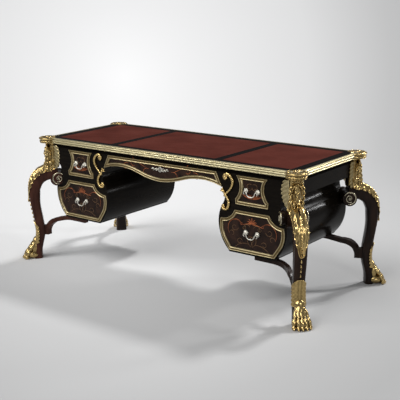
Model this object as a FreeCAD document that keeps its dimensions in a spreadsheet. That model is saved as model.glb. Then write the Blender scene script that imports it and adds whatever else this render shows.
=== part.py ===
import FreeCAD, Part
import math
import os
import Sketcher
from FreeCAD import Placement, Rotation, Vector

os.makedirs("parts", exist_ok=True)
doc = FreeCAD.newDocument("bureau_mazarin")
sheet = doc.addObject("Spreadsheet::Sheet", "Sizes")

# Driving dimensions, millimetres
DIMENSIONS = (
    # the top and its gilt edge
    ("top_length", 1860), ("top_depth", 700), ("desk_height", 790),
    ("edge_wide", 20), ("edge_tall", 34), ("edge_lip", 4),
    ("cap_run", 78), ("cap_tip", 32), ("cap_inner", 67), ("cap_rise", 3), ("cap_shoulder", 9),
    ("cap_neck", 52),
    ("board_drop", 1), ("leather_thick", 2.2), ("leather_recess", 2), ("leather_gap", 0.3),
    ("leather_end", 80), ("leather_side", 65), ("centre_leather", 724), ("crossbar", 50),
    # the carcass
    ("carcass_inset", 25), ("carcass_top_thick", 24), ("back_thick", 16), ("face_frame", 22),
    ("pedestal_margin", 295), ("belly_half", 219), ("floor_drop", 500), ("waist_drop", 184),
    ("cove_drop", 135), ("wall", 18), ("runner_thick", 18), ("runner_gap", 0.3),
    ("guide_wide", 12), ("guide_tall", 16), ("guide_gap", 0.6),
    # the openings of the drawers
    ("drawer_gap", 1),
    ("upper_half", 108), ("upper_drop", 226), ("upper_tall", 164),
    ("lower_margin", 10), ("lower_drop", 491), ("lower_tall", 235),
    ("centre_margin", 193), ("centre_tall", 115),
    # the drawers
    ("box_side", 10), ("box_floor", 8), ("box_stop", 52), ("box_lift", 9),
    ("upper_box_half", 73), ("upper_box_tall", 142),
    ("lower_box_margin", 91), ("lower_box_tall", 158),
    ("centre_box_margin", 62), ("centre_box_drop", 106), ("centre_box_tall", 42),
    ("band_wide", 22), ("band_proud", 5), ("bead_inset", 3), ("bead_wide", 10), ("bead_proud", 9),
    # the drawer handles
    ("post_span", 74), ("rosette", 32), ("rosette_thick", 3), ("post_thick", 7), ("post_head", 16),
    ("post_reach", 17), ("post_stem", 5), ("stem_gap", 0.5), ("stem_tail", 4),
    ("bail_wire", 5), ("bail_gap", 0.25), ("bail_drop", 31), ("bail_pin", 5), ("bail_bend", 9),
    ("upper_handle_drop", 141), ("lower_handle_drop", 375),
    # the lock and its plate
    ("plate_half", 67), ("plate_tall", 34), ("plate_drop", 100), ("plate_thick", 3),
    ("keyhole", 7), ("keyhole_drop", 12), ("key_slot", 4),
    ("lock_wide", 64), ("lock_tall", 36), ("lock_deep", 14), ("lock_drop", 2),
    ("bolt_wide", 24), ("bolt_deep", 6), ("bolt_tall", 30), ("bolt_gap", 0.3),
    ("mortise_depth", 15),
    # the legs, measured outward from the square corner of the top on its diagonal
    ("leg_reach", 178), ("shoulder_drop", 179), ("leg_wide", 72),
    ("scroll_back", 71), ("scroll_drop", 268), ("scroll_radius", 40), ("scroll_proud", 5),
    ("leaf_proud", 4), ("paw_wide", 110), ("toe_groove", 5),
    # the bust on each corner
    ("bust_tall", 160), ("bust_back", 30), ("bust_deep", 76), ("bust_wide", 86),
    ("wing_proud", 9), ("wing_wide", 44),
    ("wing_top_drop", 48), ("wing_tall", 154),
    # the scrolls beside the kneehole
    ("mount_strap", 15), ("mount_proud", 11), ("mount_margin", 26), ("mount_span", 80),
    ("mount_drop", 277), ("mount_tall", 222),
    # the rails under the pedestals
    ("rail_wide", 28), ("rail_thick", 28), ("rail_end", 5), ("rail_margin", 60),
    ("rail_dip", 14), ("overrun", 20),
)
for row, (alias, value) in enumerate(DIMENSIONS, start=1):
    sheet.set(f"A{row}", alias)
    sheet.set(f"B{row}", str(value))
    sheet.setAlias(f"B{row}", alias)
doc.recompute()

nodes = []


def size(alias):
    """The value of one driving dimension."""
    return float(sheet.get(alias))


def worth(expression):
    """The value of an expression on the sheet."""
    return float(sheet.evalExpression(expression))


# Expressions that several pieces share
BOARD_LOW = "(Sizes.desk_height - Sizes.edge_tall)"
CARCASS_LOW = "(Sizes.desk_height - Sizes.edge_tall - Sizes.carcass_top_thick)"
CARCASS_X = "(Sizes.top_length / 2 - Sizes.carcass_inset)"
FRONT = "(Sizes.top_depth / 2 - Sizes.carcass_inset)"
BACK = "(Sizes.top_depth / 2 - Sizes.carcass_inset - Sizes.back_thick)"
PEDESTAL_X = "(Sizes.top_length / 2 - Sizes.pedestal_margin)"
CENTRE_HALF = f"({PEDESTAL_X} - Sizes.centre_margin)"
CENTRE_LOW = f"({CARCASS_LOW} - Sizes.centre_tall)"
CENTRE_BOX_HALF = f"({CENTRE_HALF} - Sizes.centre_box_margin)"
BOX_HALVES = {"upper": "Sizes.upper_box_half",
              "lower": "(Sizes.belly_half - Sizes.lower_box_margin)"}
BOX_DEPTH = f"({FRONT} - Sizes.face_frame + {BACK} - Sizes.box_stop)"


def level(name):
    """A height above the floor, held as a drop below the top of the desk."""
    return f"(Sizes.desk_height - Sizes.{name}_drop)"


FLOOR = level("floor")
WAIST = level("waist")
COVE = level("cove")
UPPER_LOW = level("upper")
LOWER_LOW = level("lower")
CENTRE_BOX_LOW = level("centre_box")
PLATE = level("plate")
OPENINGS = {"upper": ("Sizes.upper_half", UPPER_LOW, "Sizes.upper_tall"),
            "lower": ("(Sizes.belly_half - Sizes.lower_margin)", LOWER_LOW, "Sizes.lower_tall"),
            "centre": (CENTRE_HALF, CENTRE_LOW, "Sizes.centre_tall")}
HANDLES = {"upper": level("upper_handle"), "lower": level("lower_handle")}


def keep(node, label):
    """Names a finished sub-part, whose label is its file name."""
    node.Label = label
    nodes.append(node)
    return node


def tie(thing, **expressions):
    """Binds properties to the sheet; a double underscore stands for a dot."""
    for name, expression in expressions.items():
        thing.setExpression(name.replace("__", "."), expression)
    return thing


def place(thing, x="0", y="0", z="0"):
    """Binds the position of a sub-part to the sheet."""
    return tie(thing, Placement__Base__x=x, Placement__Base__y=y, Placement__Base__z=z)


def radius_through(start, via, end):
    """The radius of the arc through three points, as an expression."""
    def away(one, other):
        return f"sqrt((({one[0]}) - ({other[0]}))^2 + (({one[1]}) - ({other[1]}))^2)"
    twice_area = (f"abs((({via[0]}) - ({start[0]})) * (({end[1]}) - ({start[1]}))"
                  f" - (({end[0]}) - ({start[0]})) * (({via[1]}) - ({start[1]})))")
    return f"{away(start, via)} * {away(via, end)} * {away(start, end)} / (2 * {twice_area})"


def draw(outline, path, closed=True):
    """Draws a path in a sketch; each point is (x, y) or (x, y, (via_x, via_y)) for an arc."""
    spans = list(zip(path, path[1:] + path[:1])) if closed else list(zip(path, path[1:]))
    ends = []
    for start, end in spans:
        first = Vector(worth(start[0]), worth(start[1]))
        last = Vector(worth(end[0]), worth(end[1]))
        if len(end) == 3:
            middle = Vector(worth(end[2][0]), worth(end[2][1]))
            backward = (middle - first).cross(last - first).z < 0
            points = (last, middle, first) if backward else (first, middle, last)
            edge = outline.addGeometry(Part.Arc(*points))
            ends.append((edge, 2, 1) if backward else (edge, 1, 2))
            bind(outline, ("Radius", edge), radius_through(start, end[2], end))
        else:
            edge = outline.addGeometry(Part.LineSegment(first, last))
            ends.append((edge, 1, 2))
    for one, other in zip(ends, ends[1:] + (ends[:1] if closed else [])):
        outline.addConstraint(Sketcher.Constraint("Coincident", one[0], one[2], other[0], other[1]))
    for (edge, corner, _), (start, _) in zip(ends, spans):
        pin(outline, edge, corner, start)
    if path and not closed:
        pin(outline, ends[-1][0], ends[-1][2], path[-1])
    return outline


def bind(outline, held, expression):
    """Adds a constraint whose value follows an expression."""
    index = outline.addConstraint(Sketcher.Constraint(*held, worth(expression)))
    outline.setExpression(f"Constraints[{index}]", expression)


def pin(outline, edge, corner, point):
    """Holds one point of a sketch at two expressions."""
    bind(outline, ("DistanceX", -1, 1, edge, corner), point[0])
    bind(outline, ("DistanceY", -1, 1, edge, corner), point[1])


def loop(name, path):
    """A closed outline standing in the XZ plane, outside any body."""
    outline = doc.addObject("Sketcher::SketchObject", name)
    outline.Placement = Placement(Vector(), Rotation(Vector(1, 0, 0), 90))
    return draw(outline, path)


def body_sketch(body, name, role, path, closed=True):
    """A sketch on one of the origin planes of its own body."""
    outline = body.newObject("Sketcher::SketchObject", name)
    plane = next(part for part in body.Origin.OriginFeatures if part.Role == role)
    outline.AttachmentSupport = [(plane, "")]
    outline.MapMode = "FlatFace"
    return draw(outline, path, closed)


def feature(body, kind, name, outline, **expressions):
    """A pad, pocket or other feature of a body, bound to the sheet."""
    made = body.newObject(f"PartDesign::{kind}", name)
    made.Profile = outline
    return tie(made, **expressions)


def two_sided(body, kind, name, outline, front, back):
    """A pad or pocket both ways from the XZ plane; a pocket runs against the plane's normal."""
    first, second = (front, back) if kind == "Pad" else (back, front)
    made = feature(body, kind, name, outline, Length=first, Length2=second)
    made.SideType = "Two sides"
    return made


def rectangle(low_x, high_x, low_y, high_y):
    """The four corners of a rectangle."""
    return [(low_x, low_y), (high_x, low_y), (high_x, high_y), (low_x, high_y)]


def share(alias, amount):
    """A part of one driving dimension, as an expression."""
    return f"Sizes.{alias} * {amount}"


def mirrored(half):
    """Closes a right-hand half path with its own mirror image on the left."""
    left = []
    for k in range(len(half) - 1, -1, -1):
        point = half[k]
        if k == len(half) - 1 and point[0] == "0":
            continue
        arrived = half[k + 1] if k + 1 < len(half) else None
        mark = (f"-({point[0]})", point[1])
        if arrived is not None and len(arrived) == 3:
            mark += ((f"-({arrived[2][0]})", arrived[2][1]),)
        left.append(mark)
    return half + left


def slab(name, outline, thick, x="0", y="0"):
    """An outline in the XZ plane given a thickness towards the back."""
    solid = doc.addObject("Part::Extrusion", name)
    solid.Base = outline
    solid.DirMode = "Custom"
    solid.Dir = Vector(0, 1, 0)
    solid.Solid = True
    tie(solid, LengthFwd=thick)
    return place(solid, x=x, y=y)


def inset(name, outline, amount):
    """An outline moved inward by an expression."""
    inner = doc.addObject("Part::Offset2D", name)
    inner.Source = outline
    inner.Join = 2
    inner.Fill = False
    return tie(inner, Value=f"-({amount})")


def cut(name, base, tool):
    """One solid less another."""
    made = doc.addObject("Part::Cut", name)
    made.Base = base
    made.Tool = tool
    return made


def fuse(name, *parts):
    """Several solids joined in one."""
    made = doc.addObject("Part::MultiFuse", name)
    made.Shapes = list(parts)
    made.Refine = True
    return made


def group(name, *parts):
    """Separate solids that share one sub-part."""
    made = doc.addObject("Part::Compound", name)
    made.Links = list(parts)
    return made


def box(name, length, width, height, x, y, z):
    """A rectangular board, placed by its low corner."""
    made = doc.addObject("Part::Box", name)
    tie(made, Length=length, Width=width, Height=height)
    return place(made, x, y, z)


def shape_part(label, shape):
    """A sub-part whose sculpted shape comes from curves that no feature makes."""
    made = doc.addObject("Part::Feature", label)
    made.Shape = shape
    return keep(made, label)


# Silhouette of a pedestal: half widths as shares of belly_half, heights as shares of the waist's rise
belly_shares = ((0.8, 1.0), (0.922, 0.788), (0.99, 0.411), (0.7, 0.03), (0.667, 0.0))
belly_via_shares = ((0.84, 0.885), (0.999, 0.595), (0.878, 0.19), (0.688, 0.012))
cove_via_share = 0.38, 0.82
slant_top_share = 0.907
slant_low_share = 0.248


def belly(side, index, shares):
    """One point of the pedestal's bombe side."""
    half, rise = shares[index]
    x = f"{PEDESTAL_X} + {side} * Sizes.belly_half * {half}"
    z = f"{FLOOR} + ({WAIST} - {FLOOR}) * {rise}"
    return x, z


def pedestal_path():
    """The right-hand pedestal from the kneehole's top corner down, round and up to the frieze."""
    path = [(f"{CENTRE_HALF} * {slant_top_share}", CARCASS_LOW),
            (CENTRE_HALF, f"{CENTRE_LOW} + Sizes.centre_tall * {slant_low_share}"),
            belly(-1, 0, belly_shares)]
    for k in range(1, len(belly_shares)):
        path.append(belly(-1, k, belly_shares) + (belly(-1, k - 1, belly_via_shares),))
    path.append(belly(1, len(belly_shares) - 1, belly_shares))
    for k in range(len(belly_shares) - 2, -1, -1):
        path.append(belly(1, k, belly_shares) + (belly(1, k, belly_via_shares),))
    waist_x = belly(1, 0, belly_shares)[0]
    via = (f"{waist_x} + ({CARCASS_X} - ({waist_x})) * {cove_via_share[0]}",
           f"{WAIST} + ({COVE} - {WAIST}) * {cove_via_share[1]}")
    path.append((CARCASS_X, COVE, via))
    path.append((CARCASS_X, CARCASS_LOW))
    return path


def other_side(path):
    """The mirror image of a path across the middle of the desk."""
    return [(f"-({p[0]})", p[1]) + (((f"-({p[2][0]})", p[2][1]),) if len(p) == 3 else ())
            for p in path]


# Outlines of the three drawer openings, right half from the top corner down
upper_shares = ((0.963, 1.0), (1.0, 0.2), (0.98, 0.0))
upper_via_share = 0.735, 0.67
lower_shares = ((0.536, 1.0), (0.971, 0.766), (0.914, 0.277), (0.699, 0.0))
lower_via_shares = ((0.67, 0.838), (1.0, 0.51), (0.812, 0.139))
centre_shares = ((slant_top_share, 1.0), (1.0, slant_low_share), (0.701, 0.46), (0.396, 0.296))
centre_via_shares = ((0.85, 0.405), (0.55, 0.425), (0.2, 0.085))


def opening_point(name, shares):
    """A point of a drawer opening from its shares of the half width and the height."""
    half, low, tall = OPENINGS[name]
    return f"{half} * {shares[0]}", f"{low} + {tall} * {shares[1]}"


def upper_path():
    top, flare, low = (opening_point("upper", s) for s in upper_shares)
    return mirrored([top, flare + (opening_point("upper", upper_via_share),), low])


def lower_path():
    half = [opening_point("lower", lower_shares[0])]
    for point, via in zip(lower_shares[1:], lower_via_shares):
        half.append(opening_point("lower", point) + (opening_point("lower", via),))
    return mirrored(half)


def centre_path():
    half = [opening_point("centre", s) for s in centre_shares[:2]]
    for point, via in zip(centre_shares[2:], centre_via_shares):
        half.append(opening_point("centre", point) + (opening_point("centre", via),))
    half.append(("0", CENTRE_LOW, opening_point("centre", centre_via_shares[2])))
    return mirrored(half)


upper_opening = loop("upper_opening", upper_path())
lower_opening = loop("lower_opening", lower_path())
centre_opening = loop("centre_opening", centre_path())
pedestal_outlines = {"right": loop("right_outline", pedestal_path()),
                     "left": loop("left_outline", other_side(pedestal_path()))}
blocks = {side: slab(f"{side}_block", outline, f"2 * {FRONT}", y=f"-{FRONT}")
          for side, outline in pedestal_outlines.items()}


# Top: a veneered board, recessed for three skins of leather
def corner_cap_path():
    """The corner cap seen from above, its origin at the square corner of the top."""
    tip = "Sizes.cap_tip * sqrt(0.5)"
    hollow = "-Sizes.cap_inner * sqrt(0.5)"
    run = "-Sizes.cap_run"
    lip = "-(Sizes.edge_wide + Sizes.edge_lip)"
    return [(run, "0"), (run, lip), (lip, run, (hollow, hollow)), ("0", run),
            ("Sizes.cap_shoulder", "-Sizes.cap_neck"),
            ("-Sizes.cap_neck", "Sizes.cap_shoulder", (tip, tip))]


cap_outline = doc.addObject("Sketcher::SketchObject", "cap_outline")
draw(cap_outline, corner_cap_path())
corners = (("front_right", 1, -1), ("back_right", 1, 1), ("back_left", -1, 1), ("front_left", -1, -1))
turns = {"front_right": -45, "back_right": 45, "back_left": 135, "front_left": -135}
caps = []
for corner, side_x, side_y in corners:
    cap = doc.addObject("Part::Extrusion", f"cap_{corner}")
    cap.Base = cap_outline
    cap.DirMode = "Custom"
    cap.Dir = Vector(0, 0, 1)
    cap.Solid = True
    tie(cap, LengthFwd="Sizes.edge_tall + Sizes.cap_rise")
    cap.Placement = Placement(Vector(), Rotation(Vector(0, 0, 1), turns[corner] - 45))
    place(cap, f"{side_x} * Sizes.top_length / 2", f"{side_y} * Sizes.top_depth / 2", BOARD_LOW)
    caps.append(keep(cap, f"corner_cap_{corner}"))

plank = box("plank", "Sizes.top_length - 2 * Sizes.edge_wide", "Sizes.top_depth - 2 * Sizes.edge_wide",
            "Sizes.edge_tall - Sizes.board_drop", "-Sizes.top_length / 2 + Sizes.edge_wide",
            "-Sizes.top_depth / 2 + Sizes.edge_wide", BOARD_LOW)
side_leather = "(Sizes.top_length / 2 - Sizes.leather_end - Sizes.centre_leather / 2 - Sizes.crossbar)"
leathers = (("left", side_leather, "-Sizes.top_length / 2 + Sizes.leather_end"),
            ("centre", "Sizes.centre_leather", "-Sizes.centre_leather / 2"),
            ("right", side_leather, "Sizes.centre_leather / 2 + Sizes.crossbar"))
recesses = []
skins = []
recess_floor = "(Sizes.desk_height - Sizes.board_drop - Sizes.leather_recess)"
for name, length, low_x in leathers:
    recesses.append(box(f"recess_{name}", length, "Sizes.top_depth - 2 * Sizes.leather_side",
                        "Sizes.leather_recess + Sizes.overrun", low_x,
                        "-Sizes.top_depth / 2 + Sizes.leather_side", recess_floor))
    skins.append(box(f"skin_{name}", f"{length} - 2 * Sizes.leather_gap",
                     "Sizes.top_depth - 2 * Sizes.leather_side - 2 * Sizes.leather_gap",
                     "Sizes.leather_thick", f"{low_x} + Sizes.leather_gap",
                     "-Sizes.top_depth / 2 + Sizes.leather_side + Sizes.leather_gap", recess_floor))
keep(cut("top_board", plank, group("top_cuts", *recesses, *caps)), "top_board")
keep(group("leather_panels", *skins), "leather_panels")


# Gilt edge: reeded lengths that butt against the corner caps
def reeded_path():
    """Three reeds one over another on a flat back."""
    path = [("-Sizes.edge_wide", "0"), ("-Sizes.edge_lip", "0")]
    for reed in range(3):
        low = f"Sizes.edge_tall / 3 * {reed}"
        path.append(("-Sizes.edge_lip", f"{low} + Sizes.edge_tall / 3",
                     ("0", f"{low} + Sizes.edge_tall / 6")))
    path.append(("-Sizes.edge_wide", "Sizes.edge_tall"))
    return path


reeded_outline = loop("reeded_outline", reeded_path())
lengths = []
for name, turn, run, x, y in (
        ("right", 0, "Sizes.top_depth", "Sizes.top_length / 2", "-Sizes.top_depth / 2 + Sizes.cap_run"),
        ("back", 90, "Sizes.top_length", "Sizes.top_length / 2 - Sizes.cap_run", "Sizes.top_depth / 2"),
        ("left", 180, "Sizes.top_depth", "-Sizes.top_length / 2", "Sizes.top_depth / 2 - Sizes.cap_run"),
        ("front", -90, "Sizes.top_length", "-Sizes.top_length / 2 + Sizes.cap_run",
         "-Sizes.top_depth / 2")):
    reeds = slab(f"reeds_{name}", reeded_outline, f"{run} - 2 * Sizes.cap_run")
    reeds.Placement = Placement(Vector(), Rotation(Vector(0, 0, 1), turn))
    lengths.append(place(reeds, x, y, BOARD_LOW))
keep(group("edge_moulding", *lengths), "edge_moulding")

# Carcass top: the board that ties the two pedestals, with a mortise for the lock's bolt
carcass_top = doc.addObject("PartDesign::Body", "carcass_top")
plan = body_sketch(carcass_top, "carcass_plan", "XY_Plane",
                   rectangle(f"-{CARCASS_X}", CARCASS_X, f"-{FRONT}", FRONT))
feature(carcass_top, "Pad", "carcass_board", plan, Length="Sizes.carcass_top_thick")
bolt_front = f"(-{FRONT} + Sizes.face_frame + Sizes.lock_deep / 2 - Sizes.bolt_deep / 2)"
mortise = body_sketch(carcass_top, "mortise_plan", "XY_Plane", rectangle(
    "-Sizes.bolt_wide / 2 - Sizes.drawer_gap", "Sizes.bolt_wide / 2 + Sizes.drawer_gap",
    f"{bolt_front} - Sizes.drawer_gap", f"{bolt_front} + Sizes.bolt_deep + Sizes.drawer_gap"))
slot = feature(carcass_top, "Pocket", "bolt_mortise", mortise, Length="Sizes.mortise_depth")
slot.Reversed = True
place(keep(carcass_top, "carcass_top"), z=CARCASS_LOW)


# Inside of each bay: half widths as shares of belly_half, levels as shares of the bay's height
bay_shares = {"lower": ((0.7, 0.0), (0.895, 0.26), (0.965, 0.5), (0.915, 0.9), (0.87, 1.0)),
              "upper": ((0.79, 0.0), (0.79, 1.0))}


# Pedestals: bent sides and floor round two drawer bays, a face frame, runner boards and guides
def pedestal(side, sign):
    """One bombe pedestal, open behind."""
    body = doc.addObject("PartDesign::Body", f"pedestal_{side}")
    path = pedestal_path() if sign > 0 else other_side(pedestal_path())
    silhouette = body_sketch(body, f"silhouette_{side}", "XZ_Plane", path)
    two_sided(body, "Pad", f"carcass_{side}", silhouette, FRONT, BACK)
    middle = f"{sign} * {PEDESTAL_X}"
    floor_low = f"({LOWER_LOW} + Sizes.box_lift - Sizes.runner_gap)"
    runner_top = f"({UPPER_LOW} + Sizes.box_lift - Sizes.runner_gap)"
    for name, low, high in (("lower", floor_low, f"({runner_top} - Sizes.runner_thick)"),
                            ("upper", runner_top, CARCASS_LOW)):
        stations = [(f"(Sizes.belly_half * {half} - Sizes.wall)", f"{low} + ({high} - ({low})) * {rise}")
                    for half, rise in bay_shares[name]]
        path = ([(f"{middle} + {half}", level) for half, level in stations]
                + [(f"{middle} - {half}", level) for half, level in reversed(stations)])
        bay = body_sketch(body, f"{name}_bay_{side}", "XZ_Plane", path)
        two_sided(body, "Pocket", f"{name}_bay_cut_{side}", bay, f"{FRONT} - Sizes.face_frame",
                  f"{BACK} + Sizes.overrun")
    for name, tall, opening in (("upper", "Sizes.upper_tall", upper_path()),
                                ("lower", "Sizes.lower_tall", lower_path())):
        moved = [(f"{middle} + ({p[0]})", p[1])
                 + (((f"{middle} + ({p[2][0]})", p[2][1]),) if len(p) == 3 else ()) for p in opening]
        front = body_sketch(body, f"{name}_hole_{side}", "XZ_Plane", moved)
        tie(front, AttachmentOffset__Base__z=FRONT)
        feature(body, "Pocket", f"{name}_hole_cut_{side}", front, Length="Sizes.face_frame")
    for name, low in (("lower", floor_low), ("upper", runner_top)):
        for guide in (-1, 1):
            inner = f"{middle} + {guide} * ({BOX_HALVES[name]} + Sizes.guide_gap)"
            outer = f"{inner} + {guide} * Sizes.guide_wide"
            ends = (inner, outer) if guide > 0 else (outer, inner)
            strip = body_sketch(body, f"{name}_guide_{side}_{guide + 1}", "XZ_Plane",
                                rectangle(*ends, f"{low} - Sizes.runner_gap", f"{low} + Sizes.guide_tall"))
            two_sided(body, "Pad", f"{name}_strip_{side}_{guide + 1}", strip,
                      f"{FRONT} - Sizes.face_frame", BACK)
    return keep(body, f"pedestal_{side}")


pedestals = {side: pedestal(side, sign) for side, sign in (("left", -1), ("right", 1))}

# Board under the centre drawer, coped to the pedestals, with a guide strip at each end
runner_low = f"({CENTRE_BOX_LOW} - Sizes.runner_gap - Sizes.runner_thick)"
shelf = box("shelf", f"2 * {CENTRE_HALF}", f"{FRONT} - Sizes.face_frame + {BACK}",
            "Sizes.runner_thick", f"-{CENTRE_HALF}", f"-{FRONT} + Sizes.face_frame", runner_low)
strips = [box(f"centre_guide_{name}", "Sizes.guide_wide", f"{FRONT} - Sizes.face_frame + {BACK}",
              "Sizes.runner_thick + Sizes.guide_tall", x, f"-{FRONT} + Sizes.face_frame", runner_low)
          for name, x in (("right", f"{CENTRE_BOX_HALF} + Sizes.guide_gap"),
                          ("left", f"-{CENTRE_BOX_HALF} - Sizes.guide_gap - Sizes.guide_wide"))]
keep(cut("kneehole_board", fuse("kneehole_shelf", shelf, *strips),
         group("pedestal_blocks", *blocks.values())), "kneehole_board")

# Back board: one panel sawn to the silhouette of both pedestals and the apron
keep(fuse("back_board", slab("back_left", pedestal_outlines["left"], "Sizes.back_thick", y=BACK),
          slab("back_right", pedestal_outlines["right"], "Sizes.back_thick", y=BACK),
          slab("back_apron", centre_opening, "Sizes.back_thick", y=BACK)), "back_board")


# Drawer fronts, their gilt bands and their boxes
def stem_holes(name, level):
    """Two holes for the stems of a drawer's handle."""
    made = []
    for end, sign in (("left", -1), ("right", 1)):
        hole = doc.addObject("Part::Cylinder", f"{name}_{end}")
        tie(hole, Radius="Sizes.post_stem / 2 + Sizes.stem_gap",
            Height="Sizes.face_frame + 2 * Sizes.overrun")
        hole.Placement = Placement(Vector(), Rotation(Vector(1, 0, 0), -90))
        made.append(place(hole, f"{sign} * Sizes.post_span / 2", f"-{FRONT} - Sizes.overrun", level))
    return group(name, *made)


def band(name, edge):
    """A gilt band: a flat strip with a raised bead, applied round the edge of a front."""
    rim = slab(f"{name}_rim", edge, "Sizes.band_proud", y=f"-{FRONT} - Sizes.band_proud")
    field = slab(f"{name}_field", inset(f"{name}_inner", edge, "Sizes.band_wide"),
                 "2 * Sizes.overrun", y=f"-{FRONT} - Sizes.overrun")
    crest = slab(f"{name}_crest", inset(f"{name}_bead_edge", edge, "Sizes.bead_inset"),
                 "Sizes.bead_proud", y=f"-{FRONT} - Sizes.bead_proud")
    hollow = slab(f"{name}_hollow",
                  inset(f"{name}_bead_inner", edge, "Sizes.bead_inset + Sizes.bead_wide"),
                  "2 * Sizes.overrun", y=f"-{FRONT} - Sizes.overrun")
    return fuse(f"{name}_band", cut(f"{name}_strip", rim, field), cut(f"{name}_bead", crest, hollow))


def copy_of(name, source, x="0"):
    """The same shape again at another place."""
    return place(group(name, source), x=x)


def drawer_box(name, half, tall, low, x):
    """Floor, two sides and a back; the drawer front closes it."""
    body = doc.addObject("PartDesign::Body", f"{name}_box")
    outer = body_sketch(body, f"{name}_box_plan", "XY_Plane",
                        rectangle(f"-{half}", half, "0", BOX_DEPTH))
    feature(body, "Pad", f"{name}_box_block", outer, Length=tall)
    inner = body_sketch(body, f"{name}_box_hollow", "XY_Plane", rectangle(
        f"-{half} + Sizes.box_side", f"{half} - Sizes.box_side", "-Sizes.overrun",
        f"{BOX_DEPTH} - Sizes.box_side"))
    hollow = feature(body, "Pocket", f"{name}_box_cut", inner, Length=f"{tall} + Sizes.overrun")
    hollow.Reversed = True
    tie(inner, AttachmentOffset__Base__z="Sizes.box_floor")
    place(body, x, f"-{FRONT} + Sizes.face_frame", low)
    return keep(body, f"{name}_box")


fronts = {}
bands = {}
for name, opening in (("upper", upper_opening), ("lower", lower_opening), ("centre", centre_opening)):
    edge = inset(f"{name}_front_edge", opening, "Sizes.drawer_gap")
    panel = slab(f"{name}_panel", edge, "Sizes.face_frame", y=f"-{FRONT}")
    if name == "centre":
        fronts[name] = panel
    else:
        fronts[name] = cut(f"{name}_drilled", panel, stem_holes(f"{name}_stems", HANDLES[name]))
    bands[name] = band(name, edge)

for side, sign in (("left", -1), ("right", 1)):
    middle = f"{sign} * {PEDESTAL_X}"
    for name in ("upper", "lower"):
        drawer = f"{name}_{side}"
        keep(copy_of(f"{drawer}_front_copy", fronts[name], middle), f"{drawer}_front")
        keep(copy_of(f"{drawer}_band_copy", bands[name], middle), f"{drawer}_band")
        drawer_box(drawer, BOX_HALVES[name], f"Sizes.{name}_box_tall",
                   f"{OPENINGS[name][1]} + Sizes.box_lift", middle)

# Centre drawer with its keyhole
key_round = doc.addObject("Part::Cylinder", "key_round")
tie(key_round, Radius="Sizes.keyhole / 2", Height="Sizes.face_frame + 2 * Sizes.overrun")
key_round.Placement = Placement(Vector(), Rotation(Vector(1, 0, 0), -90))
place(key_round, "0", f"-{FRONT} - Sizes.overrun", PLATE)
key_slit = box("key_slit", "Sizes.key_slot", "Sizes.face_frame + 2 * Sizes.overrun",
               "Sizes.keyhole_drop", "-Sizes.key_slot / 2", f"-{FRONT} - Sizes.overrun",
               f"{PLATE} - Sizes.keyhole_drop")
key_cut = fuse("key_cut", key_round, key_slit)
keep(cut("centre_drawer_front", fronts["centre"], key_cut), "centre_front")
keep(bands["centre"], "centre_band")
drawer_box("centre", CENTRE_BOX_HALF, "Sizes.centre_box_tall", CENTRE_BOX_LOW, "0")

# Lock plate: a cartouche with leaf ends
plate_shares = ((0.0, 0.5), (0.32, 0.3), (0.62, 0.12), (1.0, 0.0))
plate_via_shares = ((0.16, 0.5), (0.47, 0.34), (0.82, 0.16))


def plate_path():
    """Quarter outlines mirrored twice."""
    def spot(shares, sign):
        return share("plate_half", shares[0]), f"{PLATE} + {sign} * Sizes.plate_tall * {shares[1]}"
    half = [("0", f"{PLATE} + Sizes.plate_tall / 2")]
    for k in range(1, 4):
        half.append(spot(plate_shares[k], 1) + (spot(plate_via_shares[k - 1], 1),))
    for k in range(2, -1, -1):
        half.append(spot(plate_shares[k], -1) + (spot(plate_via_shares[k], -1),))
    half[-1] = ("0",) + half[-1][1:]
    whole = mirrored(half)
    closing = whole.pop()
    whole[0] = whole[0] + (closing[2],) if len(closing) == 3 else whole[0]
    return whole


plate = slab("plate", loop("plate_outline", plate_path()), "Sizes.plate_thick",
             y=f"-{FRONT} - Sizes.plate_thick")
keep(cut("escutcheon_plate", plate, key_cut), "escutcheon")

# Lock: a case behind the drawer front and the bolt that the key throws
case_top = f"({CARCASS_LOW} - Sizes.drawer_gap - Sizes.lock_drop)"
case = box("case", "Sizes.lock_wide", "Sizes.lock_deep", "Sizes.lock_tall", "-Sizes.lock_wide / 2",
           f"-{FRONT} + Sizes.face_frame", f"{case_top} - Sizes.lock_tall")
bolt_way = box("bolt_way", "Sizes.bolt_wide + 2 * Sizes.bolt_gap", "Sizes.bolt_deep + 2 * Sizes.bolt_gap",
               "Sizes.bolt_tall + Sizes.bolt_gap + Sizes.overrun",
               "-Sizes.bolt_wide / 2 - Sizes.bolt_gap", f"{bolt_front} - Sizes.bolt_gap",
               f"{case_top} - Sizes.bolt_tall - Sizes.bolt_gap")
keep(cut("lock_case_cut", case, bolt_way), "lock_case")
keep(box("lock_bolt", "Sizes.bolt_wide", "Sizes.bolt_deep", "Sizes.bolt_tall", "-Sizes.bolt_wide / 2",
         bolt_front, f"{case_top} - Sizes.bolt_tall"), "lock_bolt")

# Handles: two turned posts on rosettes, and a bail whose ends turn in them
rosette_via_share, rosette_dome_share, rosette_rise_share = 0.38, 1.2, 1.6
post = doc.addObject("PartDesign::Body", "post")
post_path = [("0", "Sizes.face_frame + Sizes.stem_tail"),
             ("Sizes.post_stem / 2", "Sizes.face_frame + Sizes.stem_tail"),
             ("Sizes.post_stem / 2", "0"), ("Sizes.rosette / 2", "0"),
             ("Sizes.post_thick / 2", f"-Sizes.rosette_thick * {rosette_rise_share}",
              (share("rosette", rosette_via_share), f"-Sizes.rosette_thick * {rosette_dome_share}")),
             ("Sizes.post_thick / 2", "-Sizes.post_reach + Sizes.post_head / 2"),
             ("0", "-Sizes.post_reach - Sizes.post_head / 2",
              ("Sizes.post_head / 2", "-Sizes.post_reach"))]
post_half = body_sketch(post, "post_half", "XY_Plane", post_path)
turned = feature(post, "Revolution", "post_turned", post_half)
turned.ReferenceAxis = (post_half, ["V_Axis"])
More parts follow.
